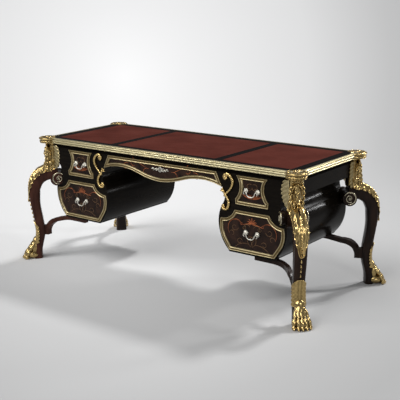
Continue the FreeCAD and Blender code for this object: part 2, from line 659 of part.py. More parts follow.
bore = body_sketch(post, "post_bore", "YZ_Plane", [])
hole_centre = Vector(-worth("Sizes.post_reach"), 0)
ring = bore.addGeometry(Part.Circle(hole_centre, Vector(0, 0, 1), size("bail_wire")))
pin(bore, ring, 3, ("-Sizes.post_reach", "0"))
bind(bore, ("Radius", ring), "Sizes.bail_wire / 2 + Sizes.bail_gap")
drilled = feature(post, "Pocket", "post_drilled", bore, Length="Sizes.post_head + Sizes.overrun")
drilled.SideType = "Symmetric"
place(post, x="Sizes.post_span / 2")
twin = doc.addObject("Part::Mirroring", "post_twin")
twin.Source = post
twin.Normal = Vector(1, 0, 0)

bail_body = doc.addObject("PartDesign::Body", "bail")
pin_end = "(Sizes.post_span / 2 + Sizes.post_head / 2 + Sizes.bail_pin - Sizes.bail_wire)"
neck = "(Sizes.post_span / 2 - Sizes.post_head / 2 - Sizes.bail_gap)"
diagonal = "sqrt(0.5)"
spine_half = [(pin_end, "0"), (neck, "0"),
              (f"{neck} - Sizes.bail_bend", "-Sizes.bail_bend",
               (f"{neck} - Sizes.bail_bend * {diagonal}", f"-Sizes.bail_bend * (1 - {diagonal})")),
              (f"{neck} - Sizes.bail_bend", "-Sizes.bail_drop + Sizes.bail_bend"),
              (f"{neck} - 2 * Sizes.bail_bend", "-Sizes.bail_drop",
               (f"{neck} - Sizes.bail_bend * (2 - {diagonal})",
                f"-Sizes.bail_drop + Sizes.bail_bend * (1 - {diagonal})"))]
spine = body_sketch(bail_body, "bail_spine", "XZ_Plane", mirrored(spine_half), closed=False)
wire_round = body_sketch(bail_body, "bail_round", "YZ_Plane", [])
tie(wire_round, AttachmentOffset__Base__z=pin_end)
ring = wire_round.addGeometry(Part.Circle(Vector(0, 0), Vector(0, 0, 1), size("bail_wire") / 2))
pin(wire_round, ring, 3, ("0", "0"))
bind(wire_round, ("Radius", ring), "Sizes.bail_wire / 2")
swept = bail_body.newObject("PartDesign::AdditivePipe", "bail_swept")
swept.Profile = wire_round
swept.Spine = (spine, [])
for side, sign in (("left", -1), ("right", 1)):
    for name in ("upper", "lower"):
        posts = group(f"{name}_{side}_post_pair", post, twin)
        place(posts, f"{sign} * {PEDESTAL_X}", f"-{FRONT}", HANDLES[name])
        keep(posts, f"{name}_{side}_posts")
        bail = group(f"{name}_{side}_bail_copy", bail_body)
        place(bail, f"{sign} * {PEDESTAL_X}", f"-{FRONT} - Sizes.post_reach", HANDLES[name])
        keep(bail, f"{name}_{side}_bail")


def check_states():
    """Stops at once if any object failed to build."""
    doc.recompute()
    failed = [thing.Label for thing in doc.Objects if "Invalid" in thing.State or "Error" in thing.State]
    if failed:
        raise RuntimeError(f"These did not build: {failed}")


check_states()


# Legs: carved in the diagonal plane of each corner and coped to the pedestal
leg_squareness = 3.2


def rounded(centre, along, across, half_along, half_across, squareness=leg_squareness):
    """A closed section: eight arcs through points of a superellipse."""
    def rim(turn):
        cosine = math.cos(turn)
        sine = math.sin(turn)
        a = math.copysign(abs(cosine) ** (2 / squareness), cosine) * half_along
        b = math.copysign(abs(sine) ** (2 / squareness), sine) * half_across
        return centre + along * a + across * b
    step = math.pi / 4
    arcs = [Part.Arc(rim((k - 0.5) * step), rim(k * step), rim((k + 0.5) * step)).toShape()
            for k in range(8)]
    return Part.Wire(arcs)


ACROSS = Vector(0, 1, 0)
OUTWARD = Vector(1, 0, 0)
UPWARD = Vector(0, 0, 1)
shoulder = worth(level("shoulder"))

# Each station: outer and inner points as shares of leg_reach and shoulder_level, width of leg_wide
leg_shares = (
    (-0.43, 0.975, -0.43, 0.872, 0.98),
    (-0.04, 0.998, -0.15, 0.845, 1.0),
    (0.2, 0.972, 0.01, 0.828, 1.0),
    (0.376, 0.93, 0.11, 0.802, 1.0),
    (0.506, 0.876, 0.168, 0.77, 1.0),
    (0.584, 0.81, 0.202, 0.745, 1.0),
    (0.612, 0.724, 0.214, 0.72, 1.0),
    (0.601, 0.638, 0.23, 0.638, 0.98),
    (0.551, 0.538, 0.214, 0.54, 0.95),
    (0.494, 0.434, 0.157, 0.43, 0.91),
    (0.433, 0.327, 0.112, 0.32, 0.89),
    (0.438, 0.245, 0.124, 0.245, 0.9),
    (0.483, 0.162, 0.191, 0.162, 0.94),
    (0.52, 0.085, 0.242, 0.085, 0.98),
    (0.53, 0.0, 0.245, 0.0, 1.0),
)


def leg_point(shares):
    return Vector(size("leg_reach") * shares[0], 0, shoulder * shares[1])


def leg_shape():
    """The S-shaped leg with its volute at the carcass."""
    sections = []
    for outer_r, outer_z, inner_r, inner_z, wide in leg_shares:
        outer = leg_point((outer_r, outer_z))
        inner = leg_point((inner_r, inner_z))
        gap = outer - inner
        length = gap.Length
        along = Vector(gap).normalize()
        sections.append(rounded((outer + inner) * 0.5, along, ACROSS, length / 2,
                                size("leg_wide") * wide / 2))
    limb = Part.makeLoft(sections, True, False)
    half = size("leg_wide") / 2 + size("scroll_proud")
    centre = Vector(-size("scroll_back"), -half, worth(level("scroll")))
    volute = Part.makeCylinder(size("scroll_radius"), 2 * half, centre, ACROSS)
    eye = Part.makeCylinder(size("scroll_radius") / 3, 2 * half + 2 * size("scroll_proud"),
                            centre - ACROSS * size("scroll_proud"), ACROSS)
    return limb.fuse([volute, eye])


def to_corner(shape):
    """Turns a shape from the diagonal plane to the front right corner of the desk."""
    moved = shape.copy()
    moved.rotate(Vector(), UPWARD, turns["front_right"])
    moved.translate(Vector(size("top_length") / 2, -size("top_depth") / 2, 0))
    return moved


# Gilt skins over the leg: stations of the knee leaf and the foot, as shares
leaf_shares = ((-0.25, 0.985, 0.72), (-0.04, 0.998, 0.98), (0.2, 0.972, 1.02), (0.376, 0.93, 0.96),
               (0.506, 0.876, 0.84), (0.584, 0.81, 0.66), (0.612, 0.724, 0.44), (0.607, 0.665, 0.2))


def leaf_shape():
    """A leaf-shaped skin along the outer edge of the shoulder and knee."""
    proud = size("leaf_proud")
    depth = size("leg_wide") / 4
    sections = []
    points = [leg_point(s[:2]) for s in leaf_shares]
    for k, (r, z, wide) in enumerate(leaf_shares):
        before = points[max(k - 1, 0)]
        after = points[min(k + 1, len(points) - 1)]
        run = (after - before).normalize()
        out = Vector(-run.z, 0, run.x)
        if out.x + out.z < 0:
            out = out * -1
        middle = points[k] + out * ((proud - depth) / 2)
        sections.append(rounded(middle, out, ACROSS, (proud + depth) / 2, size("leg_wide") * wide / 2))
    return Part.makeLoft(sections, True, False)


# Level as a share of shoulder_level, front and back as shares of leg_reach, width of paw_wide
paw_shares = ((0.385, 0.49, 0.37, 0.44), (0.327, 0.45, 0.30, 0.69), (0.245, 0.455, 0.30, 0.72),
              (0.162, 0.51, 0.34, 0.76), (0.125, 0.64, 0.36, 0.86), (0.09, 0.86, 0.38, 0.95),
              (0.05, 0.985, 0.40, 1.0), (0.02, 1.0, 0.42, 0.99), (0.0, 0.955, 0.44, 0.92))


# Grooves between the toes: shares of paw_wide across; shares of leg_reach and shoulder_level along
toe_shares = (-0.25, 0.0, 0.25)
groove_shares = ((0.62, 0.128, 0.8), (0.93, 0.078, 1.0), (1.02, -0.008, 1.05))
paw_squareness = 2.6


def paw_shape():
    """The gilt foot: a sabot that opens into a lion's paw, its toes parted by grooves."""
    sections = []
    for level, front, back, wide in paw_shares:
        ahead = leg_point((front, level))
        behind = leg_point((back, level))
        sections.append(rounded((ahead + behind) * 0.5, OUTWARD, ACROSS,
                                (ahead - behind).Length / 2, size("paw_wide") * wide / 2,
                                paw_squareness))
    paw = Part.makeLoft(sections, True, False)
    groove = size("toe_groove")
    for toe in toe_shares:
        start, knuckle, tip = (leg_point((r, z)) + ACROSS * (size("paw_wide") * toe * spread)
                               for r, z, spread in groove_shares)
        for low, high in ((start, knuckle), (knuckle, tip)):
            paw = paw.cut(Part.makeCylinder(groove, (high - low).Length, low, high - low))
        paw = paw.cut(Part.makeSphere(groove, knuckle))
    return paw


# Bust, from the chest up: level as a share of bust_tall, how far its middle lies behind the
# corner as a share of bust_back, and its depth and width as shares of bust_deep and bust_wide
bust_shares = ((0.0, 1.2, 0.78, 0.68), (0.13, 1.1, 0.95, 0.97), (0.26, 1.0, 1.0, 1.0),
               (0.35, 0.95, 0.84, 0.86), (0.41, 0.85, 0.55, 0.5), (0.47, 0.72, 0.58, 0.5),
               (0.55, 0.64, 0.72, 0.62), (0.65, 0.62, 0.79, 0.68), (0.75, 0.7, 0.79, 0.68),
               (0.81, 0.8, 0.75, 0.67), (0.87, 0.9, 0.86, 0.8), (1.0, 0.95, 1.0, 0.97))
bust_squareness = 2.3


def bust_shape():
    """Chest, neck, head and the leafy crest that meets the corner cap."""
    top = worth(BOARD_LOW)
    low = top - size("bust_tall")
    sections = []
    for level, back, deep, wide in bust_shares:
        middle = Vector(-size("bust_back") * back, 0, low + size("bust_tall") * level)
        sections.append(rounded(middle, OUTWARD, ACROSS, size("bust_deep") * deep / 2,
                                size("bust_wide") * wide / 2, bust_squareness))
    return Part.makeLoft(sections, True, False)


# Outline of a wing: shares of its width and height, round the lower lobe and up the outer edge
wing_shares = ((0.0, 0.1), (0.85, 0.25), (0.55, 1.0), (0.0, 1.0))
wing_via_shares = ((0.55, 0.0), (1.0, 0.62))


def wing_shape():
    """The two leaf wings of the front right bust, one on each face of the carcass corner."""
    tall = size("wing_tall")
    top = Vector(worth(CARCASS_X), -worth(FRONT), worth(level("wing_top")))
    wings = []
    for along, out in ((-OUTWARD, -ACROSS), (ACROSS, OUTWARD)):
        def spot(shares):
            return top + along * (size("wing_wide") * shares[0]) + UPWARD * (tall * (shares[1] - 1))
        low, lobe, tip, root = (spot(s) for s in wing_shares)
        edges = [Part.Arc(low, spot(wing_via_shares[0]), lobe).toShape(),
                 Part.Arc(lobe, spot(wing_via_shares[1]), tip).toShape(),
                 Part.LineSegment(tip, root).toShape(),
                 Part.LineSegment(root, low).toShape()]
        wings.append(Part.Face(Part.Wire(edges)).extrude(out * size("wing_proud")))
    return wings


def strap(points, vias, half, normal):
    """A flat band of even width along lines and arcs, as a face."""
    chords = [(points[k + 1] - points[k]).normalize() for k in range(len(vias))]
    arrive = [((points[k + 1] - via).normalize() if via else chords[k]) for k, via in enumerate(vias)]
    leave = [((via - points[k]).normalize() if via else chords[k]) for k, via in enumerate(vias)]
    edges = []
    for sign in (1, -1):
        sides = []
        for k, point in enumerate(points):
            before = arrive[k - 1] if k > 0 else leave[0]
            after = leave[k] if k < len(vias) else arrive[-1]
            if k == 0 and vias[0]:
                after = before = leave[0] * 2 - chords[0]
            if k == len(vias) and vias[-1]:
                before = after = arrive[-1] * 2 - chords[-1]
            sides.append(point + normal.cross(before + after).normalize() * (half * sign))
        run = []
        for k, via in enumerate(vias):
            if via:
                crown = via + normal.cross(chords[k]) * (half * sign)
                run.append(Part.Arc(sides[k], crown, sides[k + 1]).toShape())
            else:
                run.append(Part.LineSegment(sides[k], sides[k + 1]).toShape())
        edges.append((sides, run))
    (left, left_run), (right, right_run) = edges
    caps_at_ends = [Part.LineSegment(left[-1], right[-1]).toShape(),
                    Part.LineSegment(right[0], left[0]).toShape()]
    return Part.Face(Part.Wire(left_run + caps_at_ends[:1] + right_run[::-1] + caps_at_ends[1:]))


# Rails: S-shaped in plan and sprung up in elevation, from the ankle to the pedestal's floor.
# Plan: shares of the run across and of the run back, with arc middles; the ankle as a share of leg_reach
ankle_share = 0.16
plan_shares = ((0.0, 0.0), (0.2, 0.365), (0.33, 0.76), (0.57, 0.985), (1.0, 1.0))
plan_via_shares = (None, (0.26, 0.56), (0.43, 0.925), None)
# Elevation: shares of the run where the block ends, the rail has risen and the rail lies flat
block_share, risen_share, flat_share, past_share = 0.08, 0.34, 0.66, 1.1
rise_via_shares, fall_via_shares = (0.17, 0.64), (0.5, 0.3)
under_rise_via_shares, under_fall_via_shares = (0.19, 0.72), (0.5, 0.25)
under_block_shares = 0.12, 0.2
# Levels of the end block on the ankle, as shares of the shoulder's height
block_foot_share, block_head_share = 0.2553, 0.3552


def rail_shape():
    """The right-hand front rail, sawn once in plan and once in elevation."""
    ankle = size("leg_reach") * ankle_share * math.sqrt(0.5)
    start = Vector(size("top_length") / 2 + ankle, -size("top_depth") / 2 - ankle, 0)
    run = Vector(worth(f"{PEDESTAL_X} + Sizes.rail_end"),
                 -worth("Sizes.top_depth / 2 - Sizes.rail_margin"), 0) - start

    def on_plan(shares):
        return start + Vector(run.x * shares[0], run.y * shares[1], 0)
    vias = [via and on_plan(via) for via in plan_via_shares]
    strip = strap([on_plan(s) for s in plan_shares], vias, size("rail_wide") / 2, UPWARD)
    floor = worth(FLOOR)
    sawn_in_plan = strip.extrude(UPWARD * (2 * floor))
    head = shoulder * block_head_share
    foot = shoulder * block_foot_share
    risen = floor - size("rail_dip")
    thick = size("rail_thick")

    def spot(amount, level):
        return Vector(start.x + run.x * amount, -size("top_depth"), level)
    outer = -size("rail_wide") / abs(run.x)
    low = foot + (head - foot) * under_block_shares[1]
    points = [spot(outer, head), spot(block_share, head), spot(risen_share, risen),
              spot(flat_share, floor), spot(past_share, floor), spot(past_share, floor - thick),
              spot(flat_share, floor - thick), spot(risen_share, risen - thick),
              spot(under_block_shares[0], low),
              spot(under_block_shares[0], foot), spot(outer, foot)]
    middles = {1: spot(rise_via_shares[0], head + (risen - head) * rise_via_shares[1]),
               2: spot(fall_via_shares[0], floor + (risen - floor) * fall_via_shares[1]),
               6: spot(under_fall_via_shares[0], floor + (risen - floor) * under_fall_via_shares[1] - thick),
               7: spot(under_rise_via_shares[0], low + (risen - thick - low) * under_rise_via_shares[1])}
    edges = []
    for k, point in enumerate(points):
        after = points[(k + 1) % len(points)]
        if k in middles:
            edges.append(Part.Arc(point, middles[k], after).toShape())
        else:
            edges.append(Part.LineSegment(point, after).toShape())
    sawn_in_elevation = Part.Face(Part.Wire(edges)).extrude(ACROSS * (2 * size("top_depth")))
    return sawn_in_plan.common(sawn_in_elevation)


# The front right corner is coped to its pedestal; the other three are its mirror images
block = blocks["right"].Shape
leg = to_corner(leg_shape())
leaf = to_corner(leaf_shape())
bust = to_corner(bust_shape()).fuse(wing_shape())
coped = {"leg": leg.cut(block),
         "knee_leaf": leaf.cut([leg, block]),
         "paw": to_corner(paw_shape()).cut(leg),
         "bust": bust.cut([block, carcass_top.Shape, leg, leaf]),
         "rail": rail_shape().cut([leg, block])}
for corner, side_x, side_y in corners:
    for name, shape in coped.items():
        if side_x < 0:
            shape = shape.mirror(Vector(), OUTWARD)
        if side_y > 0:
            shape = shape.mirror(Vector(), ACROSS)
        shape_part(f"{name}_{corner}", shape)


# Scroll mounts beside the kneehole: two straps that cross below their middle
# Each strap: two ends and the crossing, then the middles of its two arcs, as shares
strap_shares = (((0.33, 0.93), (0.34, 0.47), (0.3, 0.08)), ((0.62, 0.95), (0.5, 0.47), (0.55, 0.06)))
strap_via_shares = (((0.1, 0.8), (0.12, 0.27)), ((0.93, 0.8), (0.93, 0.25)))
curl_shares = ((0.26, 0.9), (0.3, 0.12), (0.5, 0.1))
curl_round_share, curl_proud_share = 0.85, 1.3


def scroll_mount():
    """The right-hand lyre-shaped scroll on the pedestal's front."""
    corner = Vector(worth(f"{PEDESTAL_X} - Sizes.belly_half + Sizes.mount_margin"),
                    -worth(FRONT), worth(level("mount")))

    def spot(shares):
        return corner + OUTWARD * (size("mount_span") * shares[0]) + UPWARD * (size("mount_tall") * shares[1])
    straps = []
    for ends, middles in zip(strap_shares, strap_via_shares):
        face = strap([spot(s) for s in ends], [spot(s) for s in middles], size("mount_strap") / 2, ACROSS)
        straps.append(face.extrude(-ACROSS * size("mount_proud")))
    for curl in curl_shares:
        straps.append(Part.makeCylinder(size("mount_strap") * curl_round_share,
                                        size("mount_proud") * curl_proud_share, spot(curl), -ACROSS))
    return straps[0].fuse(straps[1:])


mount = scroll_mount()
shape_part("scroll_mount_right", mount)
shape_part("scroll_mount_left", mount.mirror(Vector(), OUTWARD))

# Every object must be sound before anything is written
check_states()
for node in nodes:
    if node.Shape.isNull() or not node.Shape.isValid() or not node.Shape.Solids:
        raise RuntimeError(f"{node.Label} has no sound shape")
for node in nodes:
    node.Shape.exportStep(f"parts/{node.Label}.step")
print(len(nodes), "sub-parts written")
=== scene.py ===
import math

import bmesh
import bpy
from mathutils import Matrix, Vector
from mathutils.bvhtree import BVHTree


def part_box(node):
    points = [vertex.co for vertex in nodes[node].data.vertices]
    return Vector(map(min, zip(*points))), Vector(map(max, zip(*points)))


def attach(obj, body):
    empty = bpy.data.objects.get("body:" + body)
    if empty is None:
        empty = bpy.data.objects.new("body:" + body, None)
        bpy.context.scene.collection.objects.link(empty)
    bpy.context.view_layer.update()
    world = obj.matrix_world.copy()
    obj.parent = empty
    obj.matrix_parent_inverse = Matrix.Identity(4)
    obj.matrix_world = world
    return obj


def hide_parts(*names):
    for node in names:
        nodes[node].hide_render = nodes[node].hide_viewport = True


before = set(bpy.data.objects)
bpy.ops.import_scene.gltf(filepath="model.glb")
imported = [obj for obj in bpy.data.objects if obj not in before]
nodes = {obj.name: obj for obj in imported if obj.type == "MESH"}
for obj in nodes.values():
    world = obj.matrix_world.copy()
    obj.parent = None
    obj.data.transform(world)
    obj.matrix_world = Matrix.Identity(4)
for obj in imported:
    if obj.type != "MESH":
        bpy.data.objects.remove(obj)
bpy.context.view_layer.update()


# Leather: three skins of red morocco let into the writing surface and glued down flat.
# Each has a rolled edge and two gilt lines, pressed in with a hot wheel a finger's width from it.
def clear():
    """Leaves nothing selected."""
    bpy.ops.object.select_all(action="DESELECT")


def take(piece):
    """Selects one piece alone and makes it the active one."""
    clear()
    piece.select_set(True)
    bpy.context.view_layer.objects.active = piece


def modified(piece, kind, **settings):
    """Adds a modifier and applies it at once."""
    take(piece)
    modifier = piece.modifiers.new(kind, kind)
    for name, value in settings.items():
        setattr(modifier, name, value)
    bpy.ops.object.modifier_apply(modifier=modifier.name)
    return piece


def settle(piece, name, body, slot, *materials, replaced=(), smooth=None):
    """Bakes a piece's place into its mesh, names it and hands it to the frame."""
    take(piece)
    bpy.ops.object.transform_apply(location=True, rotation=True, scale=True)
    piece.name = name
    piece.data.name = name
    piece.data.materials.clear()
    for material in materials:
        piece.data.materials.append(material)
    if smooth:
        bpy.ops.object.shade_smooth_by_angle(angle=math.radians(smooth))
    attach(piece, body)
    if replaced:
        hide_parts(*replaced)
    return piece


def dress(name, material):
    """Gives a constructed piece that keeps its own shape its finish."""
    nodes[name].data.materials.clear()
    nodes[name].data.materials.append(material)


def finish(name, **sockets):
    """A new finish: its material, node tree and shader, with constant sockets set."""
    material = bpy.data.materials.new(name)
    material.use_nodes = True
    tree = material.node_tree
    shader = tree.nodes["Principled BSDF"]
    for socket, value in sockets.items():
        shader.inputs[socket.replace("_", " ")].default_value = value
    return material, tree, shader


def add(tree, kind, inputs=None, **settings):
    """Adds a node; an input may be a number, a colour or another node's output."""
    node = tree.nodes.new(f"ShaderNode{kind}")
    for name, value in settings.items():
        setattr(node, name, value)
    for name, value in (inputs or {}).items():
        if isinstance(value, bpy.types.NodeSocket):
            tree.links.new(value, node.inputs[name])
        else:
            node.inputs[name].default_value = value
    return node


def place_of(tree, stretch=(1, 1, 1), turn=(0, 0, 0)):
    """The place on the piece, in metres, stretched and turned."""
    here = add(tree, "TexCoord").outputs["Object"]
    return add(tree, "Mapping", {"Vector": here, "Scale": stretch, "Rotation": turn}).outputs["Vector"]


def noise(tree, scale, detail=4.0, stretch=(1, 1, 1), distortion=0.0, turn=(0, 0, 0)):
    """Cloudy variation over the piece."""
    return add(tree, "TexNoise", {"Vector": place_of(tree, stretch, turn), "Scale": scale,
                                  "Detail": detail, "Distortion": distortion}).outputs["Fac"]


def ramp(tree, factor, *stops):
    """Colours along a factor; each stop is a place and a colour."""
    node = add(tree, "ValToRGB", {"Fac": factor})
    band = node.color_ramp
    while len(band.elements) < len(stops):
        band.elements.new(1.0)
    for element, (at, colour) in zip(band.elements, stops):
        element.position = at
        element.color = (*colour, 1.0) if isinstance(colour, tuple) else (colour, colour, colour, 1.0)
    return node.outputs["Color"]


def mixed(tree, factor, first, second, blend="MIX"):
    """Two colours mixed by a factor."""
    node = add(tree, "MixRGB", {"Fac": factor, "Color1": first, "Color2": second}, blend_type=blend)
    return node.outputs["Color"]


def connect(tree, shader, **outputs):
    """Feeds textures to the shader."""
    for socket, output in outputs.items():
        tree.links.new(output, shader.inputs[socket.replace("_", " ")])


def relief(tree, shader, height, strength, depth):
    """Raises the surface by a height texture, depth in metres."""
    bump = add(tree, "Bump", {"Height": height, "Strength": strength, "Distance": depth})
    connect(tree, shader, Normal=bump.outputs["Normal"])


def gilding(name, colour, hollow_shade, roughness, chased=0.15):
    """Fire-gilt bronze, cast and chased, with painted shade: dark in its hollows, half its colour on flats,
    full colour where it stands proud.
    """
    material, tree, shader = finish(name, Metallic=1.0, IOR=1.45)
    hollows = add(tree, "NewGeometry").outputs["Pointiness"]
    cloud = noise(tree, 60.0, 5.0)
    # Painted shade from the surface's curvature: hollows dark, flats at half colour, ridges at full colour.
    painted_shade = ramp(tree, hollows, (0.46, hollow_shade), (0.50, tuple(0.5 * c for c in colour)), (0.54, colour))
    aged = ramp(tree, cloud, (0.3, 0.55), (0.62, 1.0))
    connect(tree, shader, Base_Color=mixed(tree, 0.5, painted_shade, aged, "MULTIPLY"),
            Roughness=ramp(tree, cloud, (0.3, roughness + 0.12), (0.7, roughness)))
    if chased:
        relief(tree, shader, noise(tree, 260.0, 3.0), chased, 0.0005)
    return material


def ringed(piece, thickness, depth, slot):
    """Insets the selected faces and gives the new ring of faces a material slot."""
    mesh = bmesh.from_edit_mesh(piece.data)
    before = len(mesh.faces)
    bpy.ops.mesh.inset(thickness=thickness, depth=depth)
    mesh = bmesh.from_edit_mesh(piece.data)
    mesh.faces.ensure_lookup_table()
    for face in mesh.faces[before:]:
        face.material_index = slot
    bmesh.update_edit_mesh(piece.data)


def facing(piece, direction, least=0.9):
    """Selects, in edit mode, the faces that look along a direction."""
    bpy.ops.object.mode_set(mode="EDIT")
    bpy.ops.mesh.select_mode(type="FACE")
    bpy.ops.mesh.select_all(action="DESELECT")
    mesh = bmesh.from_edit_mesh(piece.data)
    for face in mesh.faces:
        face.select_set(face.normal.dot(Vector(direction)) > least)
    bmesh.update_edit_mesh(piece.data)


gold_tooling = gilding("gold_tooling", (0.72, 0.52, 0.24), (0.3, 0.16, 0.05), 0.42)

morocco, tree, shader = finish("red_morocco", Specular_IOR_Level=0.03)
hand_worn = noise(tree, 5.0, 3.0)
skin_tone = ramp(tree, hand_worn, (0.3, (0.064, 0.0128, 0.0078)), (0.7, (0.096, 0.0190, 0.0112)))
pebbles = add(tree, "TexVoronoi", {"Vector": place_of(tree), "Scale": 520.0}).outputs["Distance"]
connect(tree, shader, Base_Color=mixed(tree, 0.35, skin_tone, ramp(tree, pebbles, (0.1, 0.75), (0.6, 1.0)),
                                      "MULTIPLY"),
        Roughness=ramp(tree, hand_worn, (0.3, 0.62), (0.75, 0.48)))
relief(tree, shader, pebbles, 0.25, 0.0007)

skins_low, skins_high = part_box("leather_panels")
centre_half = 0.362
crossbar = 0.050
rolled_edge = 0.0015
tooling = ((0.012, 0.0, 0), (0.0030, -0.0002, 1), (0.005, 0.0002, 0), (0.0012, -0.0002, 1))
skins = []
for low_x, high_x in ((skins_low.x, -centre_half - crossbar), (-centre_half, centre_half),
                      (centre_half + crossbar, skins_high.x)):
    clear()
    bpy.ops.mesh.primitive_cube_add(size=1, location=((low_x + high_x) / 2, 0,
                                                      (skins_low.z + skins_high.z) / 2))
    skin = bpy.context.object
    skin.scale = (high_x - low_x, skins_high.y - skins_low.y, skins_high.z - skins_low.z)
    bpy.ops.object.transform_apply(location=False, rotation=False, scale=True)
    facing(skin, (0, 0, 1))
    ringed(skin, rolled_edge, 0.0, 0)
    for wide, deep, slot in tooling:
        ringed(skin, wide, deep, slot)
    bpy.ops.mesh.subdivide(number_cuts=12)
    bpy.ops.object.mode_set(mode="OBJECT")
    for vertex in skin.data.vertices:
        outside = abs(vertex.co.z) > 0.001 and vertex.co.z > 0 and (
            abs(abs(vertex.co.x) - (high_x - low_x) / 2) < 1e-5
            or abs(abs(vertex.co.y) - (skins_high.y - skins_low.y) / 2) < 1e-5)
        if outside:
            vertex.co.z -= rolled_edge / 2
    skins.append(skin)
take(skins[0])
for skin in skins:
    skin.select_set(True)
bpy.ops.object.join()
settle(skins[0], "leather_skins", "root", "red_leather", morocco, gold_tooling,
       replaced=("leather_panels",))


# Ebonised wood: the frame of the top, the carcass and its bent sides, all in pearwood stained
# black and french polished, so that a little brown shows through where the light rakes it.
def stained(name, black, brown, roughness, streak, shine=0.12):
    """Stained and polished wood with its grain along one direction."""
    material, tree, shader = finish(name, Specular_IOR_Level=shine)
    grain = noise(tree, 9.0, 8.0, streak, 0.6)
    patches = noise(tree, 2.4, 2.0)
    wood = ramp(tree, grain, (0.35, black), (0.72, brown))
    stain = mixed(tree, ramp(tree, patches, (0.4, 0.0), (0.68, 0.6)), wood, (*black, 1))
    connect(tree, shader, Base_Color=stain,
            Roughness=ramp(tree, grain, (0.3, roughness), (0.7, roughness + 0.06)))
    relief(tree, shader, grain, 0.05, 0.0004)
    return material


ebonised = stained("ebonised_wood", (0.0042, 0.0034, 0.0026), (0.0105, 0.0078, 0.0054), 0.15,
                   (1, 1, 9), 0.045)
ebonised_top = stained("ebonised_frame", (0.0024, 0.0021, 0.0020), (0.0060, 0.0045, 0.0036), 0.24,
                       (1.5, 9, 9), 0.003)
for name in ("pedestal_left", "pedestal_right", "back_board"):
    dress(name, ebonised)
for name in ("top_board", "carcass_top", "kneehole_board"):
    dress(name, ebonised_top)


# Drawer boxes: plain oak, dovetailed behind each front, left unpolished so that they slide.
# The front is veneered; the box is only seen when its drawer is pulled out.
oak, tree, shader = finish("drawer_oak", Specular_IOR_Level=0.3)
oak_grain = noise(tree, 14.0, 9.0, (12, 1, 12), 0.9)
connect(tree, shader,
        Base_Color=ramp(tree, oak_grain, (0.3, (0.24, 0.135, 0.060)), (0.7, (0.42, 0.27, 0.14))),
        Roughness=ramp(tree, oak_grain, (0.3, 0.55), (0.7, 0.75)))
relief(tree, shader, oak_grain, 0.3, 0.0010)
for side in ("left", "right"):
    for level in ("upper", "lower"):
        dress(f"{level}_{side}_box", oak)
dress("centre_box", oak)


# Lock: a steel case screwed behind the centre front and the bolt that the key throws.
# Bright filed steel, a little browned, hidden unless the drawer is drawn.
steel, tree, shader = finish("lock_steel", Metallic=1.0)
filed = noise(tree, 90.0, 6.0, (1, 1, 14))
connect(tree, shader, Base_Color=ramp(tree, filed, (0.3, (0.20, 0.18, 0.16)), (0.7, (0.46, 0.45, 0.43))),
        Roughness=ramp(tree, filed, (0.3, 0.42), (0.7, 0.28)))
for name in ("lock_case", "lock_bolt"):
    dress(name, steel)

# Edge of the top: three reeds of gilt bronze, cast in lengths and pinned round the board.
# Long polishing has left it paler and greener than the mounts below.
def grid(across_faces, along_faces, place):
    """A sheet of faces whose points are put in place by two shares, each from 0 to 1."""
    clear()
    bpy.ops.mesh.primitive_grid_add(x_subdivisions=across_faces, y_subdivisions=along_faces, size=1)
    sheet = bpy.context.object
    for vertex in sheet.data.vertices:
        vertex.co = place(vertex.co.x + 0.5, vertex.co.y + 0.5)
    return sheet


def closed(piece, apart=0.00002, outward=True):
    """Merges the seam and poles of a piece and, if asked, turns all its faces outward."""
    take(piece)
    bpy.ops.object.mode_set(mode="EDIT")
    bpy.ops.mesh.select_all(action="SELECT")
    bpy.ops.mesh.remove_doubles(threshold=apart)
    if outward:
        bpy.ops.mesh.normals_make_consistent(inside=False)
    bpy.ops.object.mode_set(mode="OBJECT")
    return piece


moulding_gilt = gilding("moulding_gilt", (0.70, 0.62, 0.38), (0.30, 0.24, 0.12), 0.27, 0)
edge_low, edge_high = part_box("edge_moulding")
board_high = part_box("top_board")[1]
reeds = ((0.0004, 0.0088, 0.0172), (0.0112, 0.0232, 0.0199), (0.0254, 0.0312, 0.0176))
groove = 0.0128
edge_profile = [(0.0, edge_low.z), (groove, edge_low.z)]
for low_edge, high_edge, out in reeds:
    for k in range(9):
        turn = math.pi * k / 8
        rise = (low_edge + high_edge) / 2 - (high_edge - low_edge) / 2 * math.cos(turn)
        edge_profile.append((groove + (out - groove) * math.sin(turn), edge_low.z + rise))
edge_profile += [(groove, edge_low.z + 0.0322), (0.0110, edge_high.z), (0.0, edge_high.z)]
board_corners = ((1, 1), (-1, 1), (-1, -1), (1, -1), (1, 1))


def edge_form(around, up):
    """A point of the edge: a share of the way round the board and a share of the way round the section."""
    side_x, side_y = board_corners[round(around * 4)]
    out, height = edge_profile[round(up * len(edge_profile)) % len(edge_profile)]
    return side_x * (board_high.x + out), side_y * (board_high.y + out), height


settle(closed(grid(4, len(edge_profile), edge_form), 0.00001), "edge_reeds", "root", "gilt_bronze",
       moulding_gilt, replaced=("edge_moulding",), smooth=35)

# Legs: carved pearwood in a double curve, one at each corner on its diagonal, stained black.
# The front left leg and its rail are given a lighter, redder copy of the leg finish than the others.
leg_wood = stained("leg_wood", (0.0085, 0.0055, 0.0042), (0.032, 0.016, 0.010), 0.2, (3, 3, 0.6))
redder_wood = stained("redder_leg_wood", (0.030, 0.010, 0.0065), (0.090, 0.034, 0.022), 0.22, (3, 3, 0.6))
for name in nodes:
    if name.startswith(("leg_", "rail_")):
        dress(name, redder_wood if name.endswith("front_left") else leg_wood)

corners = (("front_right", 1, 1), ("back_right", 1, -1), ("back_left", -1, -1), ("front_left", -1, 1))
outward = Vector((1, -1, 0)).normalized()
across = Vector((1, 1, 0)).normalized()
corner_frame = Matrix.Translation((edge_high.x, edge_low.y, 0)) @ Matrix(
    (outward, across, (0, 0, 1))).transposed().to_4x4()


